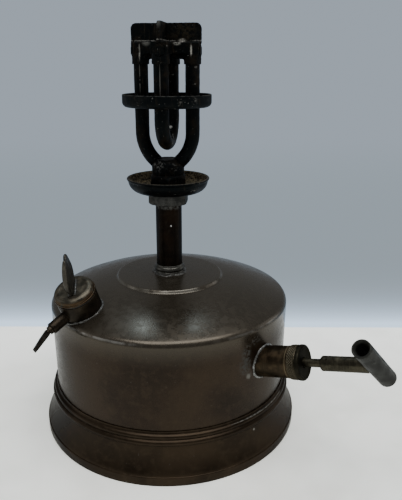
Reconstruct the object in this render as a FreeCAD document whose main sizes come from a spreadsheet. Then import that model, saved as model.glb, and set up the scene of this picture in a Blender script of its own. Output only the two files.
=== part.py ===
"""Brass kerosene pressure stove: tank on a flared foot, filler with vent screw, hand pump and tube burner.

World frame, millimetres: +Z up, the origin on the floor under the tank's centre, the vent to the left
and front, the pump to the right and front.  Pieces on a slanted axis are drawn along their own +Z and
then placed: the pump's, the filler's and the vent's.
"""
import FreeCAD, Part
import math
import os
from types import SimpleNamespace

import Sketcher
from FreeCAD import Placement, Rotation, Vector

SIZES = [
    # tank and foot
    ("tank_radius", 80.0, "outside of the wall under the shoulder"),
    ("wall_taper", 0.7, "how much narrower the wall is at its lower edge"),
    ("tank_sheet", 0.9, "brass sheet of the tank"),
    ("shoulder_height", 86.2, "centre of the shoulder's round"),
    ("shoulder_round", 4.7, "round between wall and dome"),
    ("dome_edge_slope", 24.2, "slope of the dome where the shoulder begins, degrees"),
    ("dome_round", 140.0, "round of the dome between shoulder and step"),
    ("step_radius", 35.9, "outer edge of the embossed step"),
    ("step_width", 1.0, "width of the embossed step"),
    ("step_rise", 1.8, "height of the embossed step"),
    ("platform_rise", 0.9, "rise of the middle of the dome from step to riser"),
    ("shell_bottom", 21.0, "lower edge of the tank's wall"),
    ("foot_reach", 8.8, "foot's rim beyond the wall's lower edge"),
    ("foot_sheet", 1.0, "brass sheet of the foot"),
    ("foot_band", 6.1, "height of the foot's upright rim"),
    ("flare_reach", 2.6, "flare's top beyond the wall's lower edge"),
    ("flare_top", 23.6, "height of the flare's top"),
    ("flare_round", 46.0, "hollow round of the flare"),
    ("bead_low_reach", 4.0, "lower bead beyond the wall's lower edge"),
    ("bead_top_reach", 2.9, "upper bead beyond the wall's lower edge"),
    ("bead_fullness", 0.55, "round of a bead over its height"),
    ("bead_split", 27.3, "height of the groove between the beads"),
    ("bead_top", 30.7, "top of the upper bead"),
    ("bottom_flange", 7.0, "height of the bottom plate's flange"),
    ("bottom_height", 25.0, "bottom plate at its edge"),
    ("bottom_rise", 5.0, "rise of the bottom plate to its middle"),
    ("bottom_flat", 30.0, "radius of the bottom plate's flat middle"),
    ("seam_gap", 0.05, "solder film between two sheets"),
    # riser and union
    ("riser_radius", 8.4, "outside of the riser"),
    ("riser_wall", 1.8, "wall of the riser"),
    ("riser_depth", 5.57, "length of the riser inside the tank"),
    ("riser_length", 50.93, "riser's upper end over the dome"),
    ("collar_height", 5.83, "height of the riser's collar"),
    ("collar_edge_height", 3.03, "height of the collar's sharp edge over the dome"),
    ("collar_groove", 0.4, "height of the groove under the collar's edge"),
    ("collar_radius", 10.4, "outside of the collar's edge"),
    ("collar_neck", 9.6, "outside of the collar under its edge"),
    ("collar_lip", 0.6, "thickness of the collar's top"),
    ("solder_radius", 14.0, "outside of the solder at the riser"),
    ("solder_rise", 1.9, "height of the solder against the collar"),
    ("solder_edge", 0.85, "height of the solder's outer edge"),
    ("nut_across", 22.8, "riser nut across its flats"),
    ("nut_height", 7.7, "height of the riser nut"),
    ("nut_seat", 3.4, "length of the riser inside its nut"),
    ("nut_chamfer", 1.2, "lower chamfer of the riser nut"),
    ("nut_top_chamfer", 0.6, "upper chamfer of the riser nut"),
    ("nut_turn", 12.2, "turn of the riser nut about the riser, degrees"),
    ("pickup_radius", 2.2, "outside of the pick-up tube"),
    ("pickup_wall", 0.5, "wall of the pick-up tube"),
    ("pickup_bottom", 36.0, "open end of the pick-up tube"),
    ("pickup_plug", 4.0, "height of the pick-up tube's plug in the riser"),
    ("strainer_radius", 3.6, "outside of the strainer"),
    ("strainer_wall", 0.5, "wall of the strainer"),
    ("strainer_length", 12.0, "length of the strainer"),
    ("strainer_room", 1.5, "room under the pick-up tube in the strainer"),
    # spirit cup
    ("cup_radius", 26.7, "outside of the spirit cup's rim"),
    ("cup_wall_inset", 0.8, "cup's wall inside its rim"),
    ("cup_height", 9.4, "height of the spirit cup"),
    ("cup_round", 8.0, "round of the spirit cup's edge"),
    ("cup_sheet", 0.9, "sheet of the spirit cup"),
    ("cup_lip", 1.0, "height and width of the cup's rolled lip"),
    ("cup_lip_foot", 1.4, "height of the rolled lip's foot under the rim"),
    # burner
    ("burner_turn", -12.0, "turn of the burner about the riser, degrees"),
    ("spigot_radius", 5.95, "burner's threaded spigot"),
    ("spigot_length", 9.0, "spigot under the hub's hexagon"),
    ("washer_thickness", 0.8, "washer between hub and cup"),
    ("hub_across", 22.4, "hub's hexagon across its flats"),
    ("hub_hex_height", 7.6, "height of the hub's hexagon"),
    ("hub_cone_height", 2.4, "height of the cone over the hexagon"),
    ("hub_radius", 10.5, "outside of the hub's round block"),
    ("hub_rise", 21.2, "height over the hub's under side where its two slopes would meet"),
    ("hub_flat", 1.5, "flat top of the hub under that height"),
    ("hub_bore_end", 7.3, "upper end of the hub's bore under its flat top"),
    ("hub_duct_depth", 8.4, "depth of the bore under a rising tube"),
    ("fuel_bore", 2.6, "radius of the bores in hub and head"),
    ("tube_radius", 4.42, "outside of a burner tube"),
    ("tube_wall", 1.1, "wall of a burner tube"),
    ("tube_circle", 16.15, "burner axis to a tube's axis"),
    ("tube_fit", 0.04, "gap round a tube in its socket"),
    ("tube_seat", 4.6, "length of a tube inside the head"),
    ("rise_bend", 24.4, "bend radius of the rising tubes"),
    ("rise_bend_rise", 15.1, "height over the slopes' apex where the rising tubes begin to bend"),
    ("rise_seat", 2.2, "length of a rising tube inside the hub"),
    ("return_bend_rise", 9.5, "how much higher the return tube begins to bend"),
    ("jet_boss_radius", 3.6, "outside of the boss for the jet"),
    ("jet_boss_rise", 1.2, "height of the boss over the return tube"),
    ("jet_across", 5.6, "jet's hexagon across its flats"),
    ("jet_hex_height", 2.2, "height of the jet's hexagon"),
    ("jet_chamfer", 0.5, "chamfer of the jet's hexagon"),
    ("jet_cone_radius", 1.8, "foot of the jet's cone"),
    ("jet_tip_radius", 1.0, "tip of the jet's cone"),
    ("jet_height", 5.2, "height of the jet over its boss"),
    ("jet_thread", 1.7, "radius of the jet's thread"),
    ("jet_thread_length", 3.0, "length of the jet's thread"),
    ("jet_hole", 0.3, "radius of the jet's orifice as drawn"),
    ("head_rise", 34.2, "under side of the head's arms over the return tube's bend"),
    ("head_height", 9.7, "height of the head's arms"),
    ("head_reach", 20.9, "burner axis to an arm's end"),
    ("head_width", 10.0, "width of an arm"),
    ("head_round", 3.0, "round of an arm's lower edges"),
    ("socket_radius", 5.4, "outside of a socket"),
    ("socket_drop", 3.1, "length of a socket under its arm"),
    ("fin_height", 11.1, "height of the fins over the arms"),
    ("fin_root", 1.0, "depth of the fins inside the arms"),
    ("fin_reach", 21.8, "burner axis to a fin's end"),
    ("fin_thickness", 2.5, "thickness of a fin"),
    ("fin_round", 3.4, "round of a fin's upper corners"),
    ("plug_across", 6.4, "channel plug across its flats"),
    ("plug_head", 0.6, "height of a channel plug's head"),
    ("plug_length", 4.0, "length of a channel plug's thread"),
    ("plug_fit", 0.05, "gap round a channel plug's thread"),
    ("dish_radius", 27.8, "outside of the flame dish"),
    ("dish_rise", 6.2, "under side of the flame dish over the return tube's bend"),
    ("dish_height", 7.6, "height of the flame dish"),
    ("dish_round", 3.0, "round of the dish's edge"),
    ("dish_sheet", 1.1, "sheet of the flame dish"),
    ("dish_hole", 8.6, "radius of the dish's middle hole"),
    # pump
    ("pump_azimuth", -34.9, "where the pump points, from +X, degrees"),
    ("pump_tilt", 75.9, "pump axis from upright, degrees"),
    ("pump_height", 44.3, "pump axis where it passes the tank's centre"),
    ("pump_offset", 12.5, "pump axis to the tank's centre, seen from above"),
    ("pump_depth", 81.47, "zero of the lengths along the pump axis inside the wall"),
    ("barrel_radius", 9.69, "outside of the pump barrel"),
    ("barrel_wall", 1.1, "wall of the pump barrel"),
    ("barrel_start", 12.0, "inner end of the barrel along the pump axis"),
    ("barrel_end", 104.0, "outer end of the barrel"),
    ("barrel_plug", 5.0, "thickness of the barrel's end plug"),
    ("pump_solder", 1.5, "width of the solder round the barrel"),
    ("solder_height", 1.1, "height of a solder bead over the sheet"),
    ("cap_radius", 10.74, "outside of the pump cap"),
    ("cap_start", 98.8, "inner edge of the pump cap"),
    ("cap_end", 108.5, "outer face of the pump cap"),
    ("cap_face", 3.4, "thickness of the pump cap's face"),
    ("cap_band_radius", 10.3, "outside of the pump cap's knurled band"),
    ("cap_band", 5.0, "width of the pump cap's knurled band"),
    ("cap_chamfer", 0.9, "chamfer of the pump cap"),
    ("thread_gap", 0.06, "gap between two screwed pieces"),
    ("rod_radius", 2.51, "pump rod"),
    ("rod_gap", 0.4, "gap round the rod in the pump cap"),
    ("rod_thread", 2.0, "radius of the rod's threaded end"),
    ("piston_start", 32.0, "inner face of the piston's nut"),
    ("rod_tip", 0.5, "end of the rod beyond its nut"),
    ("face_gap", 0.05, "film between two faces that turn on each other"),
    ("piston_nut_across", 7.0, "piston nut across its flats"),
    ("piston_nut_height", 3.0, "height of the piston nut"),
    ("piston_washer", 1.0, "thickness of the front washer"),
    ("piston_washer_radius", 6.4, "outside of the front washer"),
    ("piston_back", 1.5, "thickness of the back washer"),
    ("piston_back_radius", 7.6, "outside of the back washer"),
    ("leather_gap", 0.08, "gap between leather and barrel"),
    ("leather_thickness", 1.5, "leather of the pump's cup"),
    ("leather_depth", 5.0, "depth of the leather cup's skirt"),
    ("leather_round", 0.9, "chamfer of the leather cup's edge"),
    ("sleeve_start", 119.0, "inner end of the handle's sleeve"),
    ("sleeve_radius", 4.53, "outside of the handle's sleeve"),
    ("sleeve_bevel", 0.9, "bevel of the sleeve"),
    ("rod_seat", 14.0, "length of the rod inside the sleeve"),
    ("handle_axis", 150.8, "handle's axis along the pump axis"),
    ("handle_radius", 5.43, "outside of the handle tube"),
    ("handle_bore", 3.55, "bore of the handle tube"),
    ("handle_length", 48.1, "length of the handle tube"),
    ("handle_shift", 2.3, "handle's middle beside the rod"),
    ("handle_lip", 0.75, "countersink of the handle's bore"),
    ("handle_chamfer", 0.3, "chamfer of the handle tube's ends"),
    ("handle_turn", 46.0, "turn of the handle about the rod, degrees"),
    ("valve_radius", 5.0, "outside of the check valve's body"),
    ("valve_start", 4.0, "inner end of the check valve"),
    ("valve_chamber", 3.6, "radius of the check valve's chamber"),
    ("valve_wall", 1.5, "end walls of the check valve"),
    ("valve_hole", 1.1, "radius of the check valve's holes"),
    ("pip_radius", 3.2, "check valve's disc"),
    ("pip_thickness", 1.8, "thickness of the check valve's disc"),
    ("pip_stem", 0.9, "radius of the disc's stem"),
    ("pip_stem_length", 3.0, "length of the disc's stem"),
    ("pip_seat_gap", 0.05, "gap between the disc and its seat"),
    ("spring_radius", 2.1, "valve spring to its wire's middle"),
    ("spring_wire", 0.3, "radius of the valve spring's wire"),
    ("spring_pitch", 1.3, "pitch of the valve spring"),
    # filler and cap
    ("filler_azimuth", -143.5, "where the filler stands on the dome, from +X, degrees"),
    ("filler_inset", 12.7, "filler's foot inside the wall's upper edge"),
    ("filler_tilt", 24.5, "filler axis from upright, degrees"),
    ("filler_lean", -120.0, "where the filler axis leans, from +X, degrees"),
    ("neck_radius", 12.5, "outside of the filler neck"),
    ("neck_bore", 9.2, "bore of the filler neck"),
    ("neck_height", 13.4, "neck's top over its foot"),
    ("neck_solder", 1.3, "width of the solder round the neck"),
    ("gasket_thickness", 1.0, "thickness of the filler gasket"),
    ("gasket_radius", 12.0, "outside of the filler gasket"),
    ("cap_stem_gap", 0.35, "gap between the cap's stem and the neck"),
    ("cap_stem_length", 8.0, "length of the cap's stem"),
    ("stem_chamfer", 0.6, "chamfer of the cap's stem"),
    ("lid_lip_radius", 12.75, "outside of the cap's lip"),
    ("lid_lip_height", 1.0, "height of the cap's lip"),
    ("lid_radius", 12.35, "outside of the cap above its lip"),
    ("lid_height", 4.4, "height of the cap's head"),
    ("lid_round", 1.9, "round of the cap's top edge"),
    ("wing_turn", 34.0, "turn of the wing on the cap, degrees"),
    ("wing_base", 8.0, "half the wing's length at the cap"),
    ("wing_reach", 9.0, "half the wing's length at its lobes"),
    ("wing_waist", 11.5, "height where the lobes begin"),
    ("wing_height", 19.8, "height of the wing's lobes"),
    ("wing_dip", 1.4, "depth of the dip between the lobes"),
    ("wing_lobe", 4.2, "round of a lobe"),
    ("wing_thickness", 2.6, "thickness of the wing"),
    # vent screw
    ("vent_height", 4.5, "vent's axis over the filler's foot"),
    ("vent_turn", -15.5, "where the vent points round the filler, degrees"),
    ("vent_radius", 3.6, "outside of the vent's boss"),
    ("vent_length", 22.9, "filler axis to the boss's end"),
    ("vent_seat", 14.0, "where the vent's needle seats"),
    ("vent_bore", 2.0, "radius of the vent's screw bore"),
    ("vent_hole", 0.9, "radius of the vent's passage"),
    ("vent_screw_gap", 0.35, "gap between the vent's screw and its bore"),
    ("vent_washer_radius", 2.6, "outside of the vent's washer"),
    ("vent_washer_thickness", 0.7, "thickness of the vent's washer"),
    ("vent_collar", 1.0, "thickness of the vent screw's collar"),
    ("vent_neck_radius", 1.6, "neck between the collar and the lever"),
    ("vent_neck_length", 1.4, "length of that neck"),
    ("needle_tip", 0.3, "radius of the vent needle's tip"),
    ("lever_length", 13.2, "length of the thumb lever"),
    ("lever_width", 6.4, "width of the thumb lever"),
    ("lever_root_width", 3.2, "width of the thumb lever at the screw"),
    ("lever_swell", 4.6, "length from the screw to the thumb lever's widest place"),
    ("lever_tip_width", 4.6, "width of the thumb lever's tip"),
    ("lever_tip_corner", 1.4, "length of the tip's rounded end"),
    ("lever_tip_round", 3.0, "round of the tip's end"),
    ("lever_thickness", 3.0, "thickness of the thumb lever at the screw"),
    ("lever_tip", 1.9, "thickness of the thumb lever's tip"),
    ("lever_drop", 2.6, "how far the lever's tip is bent down"),
    ("lever_turn", 43.7, "turn of the lever about the vent's axis, degrees"),
]


class Size:
    """A length or an angle that knows its number and the spreadsheet expression that gives it."""

    def __init__(self, value, text):
        self.value = float(value)
        self.text = text

    def combine(self, other, sign, value):
        return Size(value, f"({self.text} {sign} {as_size(other).text})")

    def __add__(self, other):
        return self.combine(other, "+", self.value + as_size(other).value)

    def __sub__(self, other):
        return self.combine(other, "-", self.value - as_size(other).value)

    def __mul__(self, other):
        return self.combine(other, "*", self.value * as_size(other).value)

    def __truediv__(self, other):
        return self.combine(other, "/", self.value / as_size(other).value)

    def __neg__(self):
        return Size(-self.value, f"(0 - {self.text})")


def as_size(number):
    """The number itself when it is a Size already, else a Size of a plain number."""
    if isinstance(number, Size):
        return number
    return Size(number, repr(float(number)))


def sine(angle):
    return Size(math.sin(math.radians(angle.value)), f"sin({angle.text} * 1 deg)")


def cosine(angle):
    return Size(math.cos(math.radians(angle.value)), f"cos({angle.text} * 1 deg)")


def root(number):
    return Size(math.sqrt(number.value), f"sqrt({number.text})")


class Frame:
    """A place and a turn in space that know their Placement and the expression that gives it."""

    def __init__(self, placement, text):
        self.placement = placement
        self.text = text

    def __mul__(self, other):
        return Frame(self.placement.multiply(other.placement), f"({self.text} * {other.text})")

    def inverse(self):
        return Frame(self.placement.inverse(), f"minvert({self.text})")


ZERO = as_size(0)
HALF_TURN = as_size(180)
QUARTER_TURN = as_size(90)
FULL_TURN = as_size(360)
SLANT = as_size(45)
HEX_SIDES = 6
DIAGONAL = math.sqrt(0.5)
CORNER = 2.0 / math.sqrt(3.0)
ARMS = 4
OVERCUT = 1.0
WALL_CUT_START = 0.6

doc = FreeCAD.newDocument("PressureStove")


def make_sheet():
    """The spreadsheet of driving sizes, and the same sizes by name."""
    sheet = doc.addObject("Spreadsheet::Sheet", "Sizes")
    named = {}
    for row, (name, value, meaning) in enumerate(SIZES, start=1):
        sheet.set(f"A{row}", name)
        sheet.set(f"B{row}", str(value))
        sheet.set(f"C{row}", meaning)
        sheet.setAlias(f"B{row}", name)
    doc.recompute()
    for name, _, _ in SIZES:
        named[name] = Size(sheet.get(name), f"Sizes.{name}")
    return SimpleNamespace(**named)


d = make_sheet()
SUBPARTS = []


# ---------------------------------------------------------------- drawing helpers


def frame_at(x=ZERO, y=ZERO, z=ZERO, yaw=ZERO, pitch=ZERO, roll=ZERO):
    """A frame moved to a place and turned by roll about X, then pitch about Y, then yaw about Z."""
    x, y, z, yaw, pitch, roll = (as_size(part) for part in (x, y, z, yaw, pitch, roll))
    placement = Placement(Vector(x.value, y.value, z.value), Rotation(yaw.value, pitch.value, roll.value))
    place_text = f"vector({x.text}; {y.text}; {z.text})"
    return Frame(placement, f"placement({place_text}; rotation({yaw.text}; {pitch.text}; {roll.text}))")


def put(item, frame):
    """Tie an object's place and turn to a frame."""
    item.Placement = frame.placement
    item.setExpression("Placement", frame.text)
    return item


def bind(item, prop, size):
    """Tie one property of an object to the spreadsheet."""
    item.setExpression(prop, as_size(size).text)


def subpart(item, label, frame=None):
    """Register an object as a sub-part, under the name of its file."""
    item.Label = label
    if frame is not None:
        put(item, frame)
    SUBPARTS.append(item)
    return item


def origin_plane(body, role):
    """The body's own origin plane of that role."""
    return next(plane for plane in body.Origin.OriginFeatures if plane.Role == role)


def edge_geometry(start, end, bend):
    """One edge of an outline, and which of its ends lies at the outline's start and end vertex.

    bend is 0 for a line, else the arc's radius: positive bulges to the left of the way, negative right.
    """
    if not bend:
        return Part.LineSegment(start, end), 1, 2
    chord = end - start
    middle = (start + end) * 0.5
    left = Vector(-chord.y, chord.x, 0).normalize()
    height = math.sqrt(max(bend * bend - chord.Length * chord.Length / 4, 0.0))
    centre = middle - left * math.copysign(height, bend)
    first, last = (end, start) if bend > 0 else (start, end)
    circle = Part.Circle(centre, Vector(0, 0, 1), abs(bend))
    start_angle = math.atan2(first.y - centre.y, first.x - centre.x)
    end_angle = math.atan2(last.y - centre.y, last.x - centre.x)
    arc = Part.ArcOfCircle(circle, start_angle, end_angle)
    return (arc, 2, 1) if bend > 0 else (arc, 1, 2)


def draw_outline(body, points, role):
    """A closed sketch on one origin plane; each point is (x, y) or (x, y, arc radius of the next edge)."""
    sketch = body.newObject("Sketcher::SketchObject", f"{body.Name}_outline")
    sketch.AttachmentSupport = (origin_plane(body, role), [""])
    sketch.MapMode = "FlatFace"
    corners = [tuple(as_size(part) for part in point) for point in points]
    places = [Vector(corner[0].value, corner[1].value, 0) for corner in corners]
    bends = [corner[2] if len(corner) > 2 else None for corner in corners]
    edges = []
    for index, bend in enumerate(bends):
        following = places[(index + 1) % len(places)]
        geometry, begins, ends = edge_geometry(places[index], following, bend.value if bend else 0)
        edges.append((sketch.addGeometry(geometry, False), begins, ends))
    for index, (edge, _, ends) in enumerate(edges):
        following, begins, _ = edges[(index + 1) % len(edges)]
        sketch.addConstraint(Sketcher.Constraint("Coincident", edge, ends, following, begins))
    for index, (edge, begins, _) in enumerate(edges):
        for axis, size in (("X", corners[index][0]), ("Y", corners[index][1])):
            if size is ZERO:
                on_axis = -2 if axis == "X" else -1
                sketch.addConstraint(Sketcher.Constraint("PointOnObject", edge, begins, on_axis))
                continue
            fixed = Sketcher.Constraint(f"Distance{axis}", -1, 1, edge, begins, size.value)
            number = sketch.addConstraint(fixed)
            sketch.renameConstraint(number, f"corner_{index}_{axis}")
            bind(sketch, f"Constraints.corner_{index}_{axis}", size)
        if bends[index]:
            radius = abs(bends[index].value)
            number = sketch.addConstraint(Sketcher.Constraint("Radius", edge, radius))
            sketch.renameConstraint(number, f"round_{index}")
            size = bends[index] if bends[index].value > 0 else -bends[index]
            bind(sketch, f"Constraints.round_{index}", size)
    return sketch


def lathe(name, points):
    """A body turned about Z from an outline of (radius, height) points."""
    body = doc.addObject("PartDesign::Body", name)
    sketch = draw_outline(body, points, "XZ_Plane")
    turned = body.newObject("PartDesign::Revolution", f"{name}_turned")
    turned.Profile = sketch
    turned.ReferenceAxis = (sketch, ["V_Axis"])
    turned.Angle = FULL_TURN.value
    sketch.Visibility = False
    return body


def plate(name, points, thickness, role="XZ_Plane"):
    """A body padded evenly to both sides of an origin plane."""
    body = doc.addObject("PartDesign::Body", name)
    sketch = draw_outline(body, points, role)
    pad = body.newObject("PartDesign::Pad", f"{name}_pad")
    pad.Profile = sketch
    pad.Midplane = True
    bind(pad, "Length", thickness)
    sketch.Visibility = False
    return body


def rod(name, radius, low, high, frame=None, x=ZERO, y=ZERO):
    """A cylinder along a frame's Z (upright without one) from one height to another."""
    item = doc.addObject("Part::Cylinder", name)
    bind(item, "Radius", radius)
    bind(item, "Height", as_size(high) - low)
    start = frame_at(x, y, low)
    return put(item, start if frame is None else frame * start)


def hexagon(name, across, low, high, turn=ZERO):
    """An upright hexagonal prism."""
    item = doc.addObject("Part::Prism", name)
    item.Polygon = HEX_SIDES
    bind(item, "Circumradius", across * (CORNER / 2))
    bind(item, "Height", as_size(high) - low)
    return put(item, frame_at(z=low, yaw=turn))


def ring_bend(name, bend, radius, angle, frame):
    """Part of a torus: a round bar bent about a frame's Z, from its +X through an angle."""
    item = doc.addObject("Part::Torus", name)
    bind(item, "Radius1", bend)
    bind(item, "Radius2", radius)
    item.Angle3 = angle
    return put(item, frame)


def join(name, *items):
    item = doc.addObject("Part::MultiFuse", name)
    item.Shapes = list(items)
    item.Refine = True
    return item


def overlap(name, *items):
    item = doc.addObject("Part::MultiCommon", name)
    item.Shapes = list(items)
    return item


def cut(name, base, *tools):
    """The base less every tool."""
    item = doc.addObject("Part::Cut", name)
    item.Base = base
    item.Tool = tools[0] if len(tools) == 1 else join(f"{name}_tools", *tools)
    return item


def washer(label, radius, bore, low, high, frame=None):
    """A flat ring as a sub-part."""
    outside = rod(f"{label}_outside", radius, low, high)
    hole = rod(f"{label}_hole", bore, low - OVERCUT, high + OVERCUT)
    return subpart(cut(f"{label}_cut", outside, hole), label, frame)


# ---------------------------------------------------------------- sizes that follow from others


def dome(grow):
    """Edge point, round, centre point and step height of the dome, grown outwards by a distance."""
    shoulder = d.shoulder_round + grow
    crown = d.dome_round + grow
    edge_radius = d.tank_radius - d.shoulder_round + shoulder * sine(d.dome_edge_slope)
    edge_height = d.shoulder_height + shoulder * cosine(d.dome_edge_slope)
    crown_radius = edge_radius - crown * sine(d.dome_edge_slope)
    crown_height = edge_height - crown * cosine(d.dome_edge_slope)
    return edge_radius, edge_height, crown, crown_radius, crown_height


def dome_height(radius, grow=ZERO):
    """Height of the dome at a radius between step and shoulder."""
    _, _, crown, crown_radius, crown_height = dome(grow)
    reach = radius - crown_radius
    return crown_height + root(crown * crown - reach * reach)


def dome_outline(grow, floor):
    """Outside of wall, shoulder, dome and step, grown outwards by a distance, up to the riser's collar."""
    edge_radius, edge_height, crown, _, _ = dome(grow)
    step_height = dome_height(d.step_radius, grow)
    top = step_height + d.step_rise
    return [
        (d.tank_low_radius + grow, floor),
        (d.tank_radius + grow, d.shoulder_height, -d.shoulder_round - grow),
        (edge_radius, edge_height, -crown),
        (d.step_radius, step_height),
        (d.step_radius - d.step_width, top),
        (d.riser_radius + d.seam_gap, top + d.platform_rise),
    ]


def wall_radius(height):
    """Outside of the tank's tapered wall at a height."""
    share = (as_size(height) - d.shell_bottom) / (d.shoulder_height - d.shell_bottom)
    return d.tank_low_radius + d.wall_taper * share


d.tank_low_radius = d.tank_radius - d.wall_taper
PLATFORM = dome_outline(ZERO, d.shell_bottom)[-2:]
dome_top = PLATFORM[-1][1]
d.foot_radius = d.tank_low_radius + d.foot_reach
d.riser_bottom = dome_top - d.riser_depth
d.riser_top = dome_top + d.riser_length
d.collar_top = dome_top + d.collar_height
d.collar_edge = dome_top + d.collar_edge_height
d.nut_bottom = d.riser_top - d.nut_seat
d.cup_bottom = d.nut_bottom + d.nut_height
d.cup_wall_radius = d.cup_radius - d.cup_wall_inset
d.hub_bottom = d.cup_bottom + d.cup_sheet + d.washer_thickness
d.hub_apex = d.hub_bottom + d.hub_rise
d.hub_top = d.hub_apex - d.hub_flat
d.rise_bend_height = d.hub_apex + d.rise_bend_rise
d.return_bend_height = d.rise_bend_height + d.return_bend_rise
d.dish_bottom = d.return_bend_height + d.dish_rise
d.head_bottom = d.return_bend_height + d.head_rise
d.head_top = d.head_bottom + d.head_height
d.fin_top = d.head_top + d.fin_height
d.filler_distance = d.tank_radius - d.filler_inset
d.filler_foot = dome_height(d.filler_distance)


def platform_height(radius):
    """Height of the dome's raised middle at a radius."""
    (outer, low), (inner, high) = PLATFORM
    return low + (high - low) * (outer - radius) / (outer - inner)


# ---------------------------------------------------------------- frames of the slanted axes

BURNER = frame_at(yaw=d.burner_turn)
# +Z runs out along the pump, and zero lies pump_depth inside the wall
wall_distance = root(d.tank_radius * d.tank_radius - d.pump_offset * d.pump_offset) / sine(d.pump_tilt)
PUMP = frame_at(
    d.pump_offset * sine(d.pump_azimuth), -d.pump_offset * cosine(d.pump_azimuth), d.pump_height,
    yaw=d.pump_azimuth, pitch=d.pump_tilt,
) * frame_at(z=wall_distance - d.pump_depth)
# +Z runs up the filler's axis, from its foot on the dome
FILLER = frame_at(
    d.filler_distance * cosine(d.filler_azimuth), d.filler_distance * sine(d.filler_azimuth), d.filler_foot,
    yaw=d.filler_lean, pitch=d.filler_tilt,
)
# +Z runs out along the vent, square to the filler's axis
VENT_IN_FILLER = frame_at(z=d.vent_height, yaw=d.vent_turn, pitch=QUARTER_TURN)
VENT = FILLER * VENT_IN_FILLER

# ---------------------------------------------------------------- tank and foot


def envelope(name, grow):
    """The tank's outside as a filled solid, grown outwards."""
    outline = dome_outline(grow, d.shell_bottom)
    top = outline[-1]
    return lathe(name, outline + [(ZERO, top[1]), (ZERO, d.shell_bottom)])


def tank_shell():
    """One drawn sheet: wall, shoulder and dome, pierced for riser, filler and pump."""
    outside = dome_outline(ZERO, d.shell_bottom)
    inside = dome_outline(-d.tank_sheet, d.shell_bottom)
    inside[-1] = (outside[-1][0], inside[-1][1])
    back = []
    for index in range(len(inside) - 1, -1, -1):
        bend = inside[index - 1][2] if index > 0 and len(inside[index - 1]) > 2 else None
        corner = inside[index][:2]
        back.append(corner + (-bend,) if bend else corner)
    sheet = lathe("tank_sheet_body", outside + back)
    inside_wall = d.tank_radius * WALL_CUT_START
    pump_hole = rod("pump_hole", d.barrel_radius + d.seam_gap, inside_wall, d.cap_end, PUMP)
    filler_hole = rod("filler_hole", d.neck_bore, -d.neck_height, d.neck_height, FILLER)
    subpart(cut("tank_shell_cut", sheet, pump_hole, filler_hole), "tank_shell")


def foot_skirt():
    """Flared foot: upright rim, hollow flare and two beads that grip the wall."""
    flare_top_radius = d.tank_low_radius + d.flare_reach
    low_edge, low_round = bead_edge(d.bead_low_reach, d.bead_split - d.flare_top)
    top_edge, top_round = bead_edge(d.bead_top_reach, d.bead_top - d.bead_split)
    inner_top = d.flare_top - d.foot_sheet
    outside = [
        (d.foot_radius, ZERO),
        (d.foot_radius, d.foot_band, d.flare_round),
        (flare_top_radius, d.flare_top),
        (low_edge, d.flare_top, -low_round),
        (low_edge, d.bead_split),
        (top_edge, d.bead_split, -top_round),
        (top_edge, d.bead_top),
        (wall_radius(d.bead_top) + d.seam_gap, d.bead_top),
    ]
    inside = [
        (wall_radius(inner_top) + d.seam_gap, inner_top, -d.flare_round - d.foot_sheet),
        (d.foot_radius - d.foot_sheet, d.foot_band - d.foot_sheet / 2),
        (d.foot_radius - d.foot_sheet, ZERO),
    ]
    subpart(lathe("foot_skirt_body", outside + inside), "foot_skirt")


def bead_edge(reach, height):
    """Radius of a bead's upper and lower edge, and its round, from its reach beyond the wall."""
    bead = height * d.bead_fullness
    bulge = bead - root(bead * bead - height * height / 4)
    return d.tank_low_radius + reach - bulge, bead


def tank_bottom():
    """Bottom plate, raised to a flat middle, with a flange soldered inside the wall."""
    edge = d.tank_low_radius - d.tank_sheet - d.seam_gap
    low = d.bottom_height - d.bottom_flange / 2
    top = d.bottom_height + d.bottom_rise
    subpart(lathe("tank_bottom_body", [
        (edge, low),
        (edge, d.bottom_height),
        (d.bottom_flat, top),
        (ZERO, top),
        (ZERO, top - d.tank_sheet),
        (d.bottom_flat, top - d.tank_sheet),
        (edge - d.tank_sheet, d.bottom_height - d.tank_sheet),
        (edge - d.tank_sheet, low),
    ]), "tank_bottom")


# ---------------------------------------------------------------- riser and union


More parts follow.
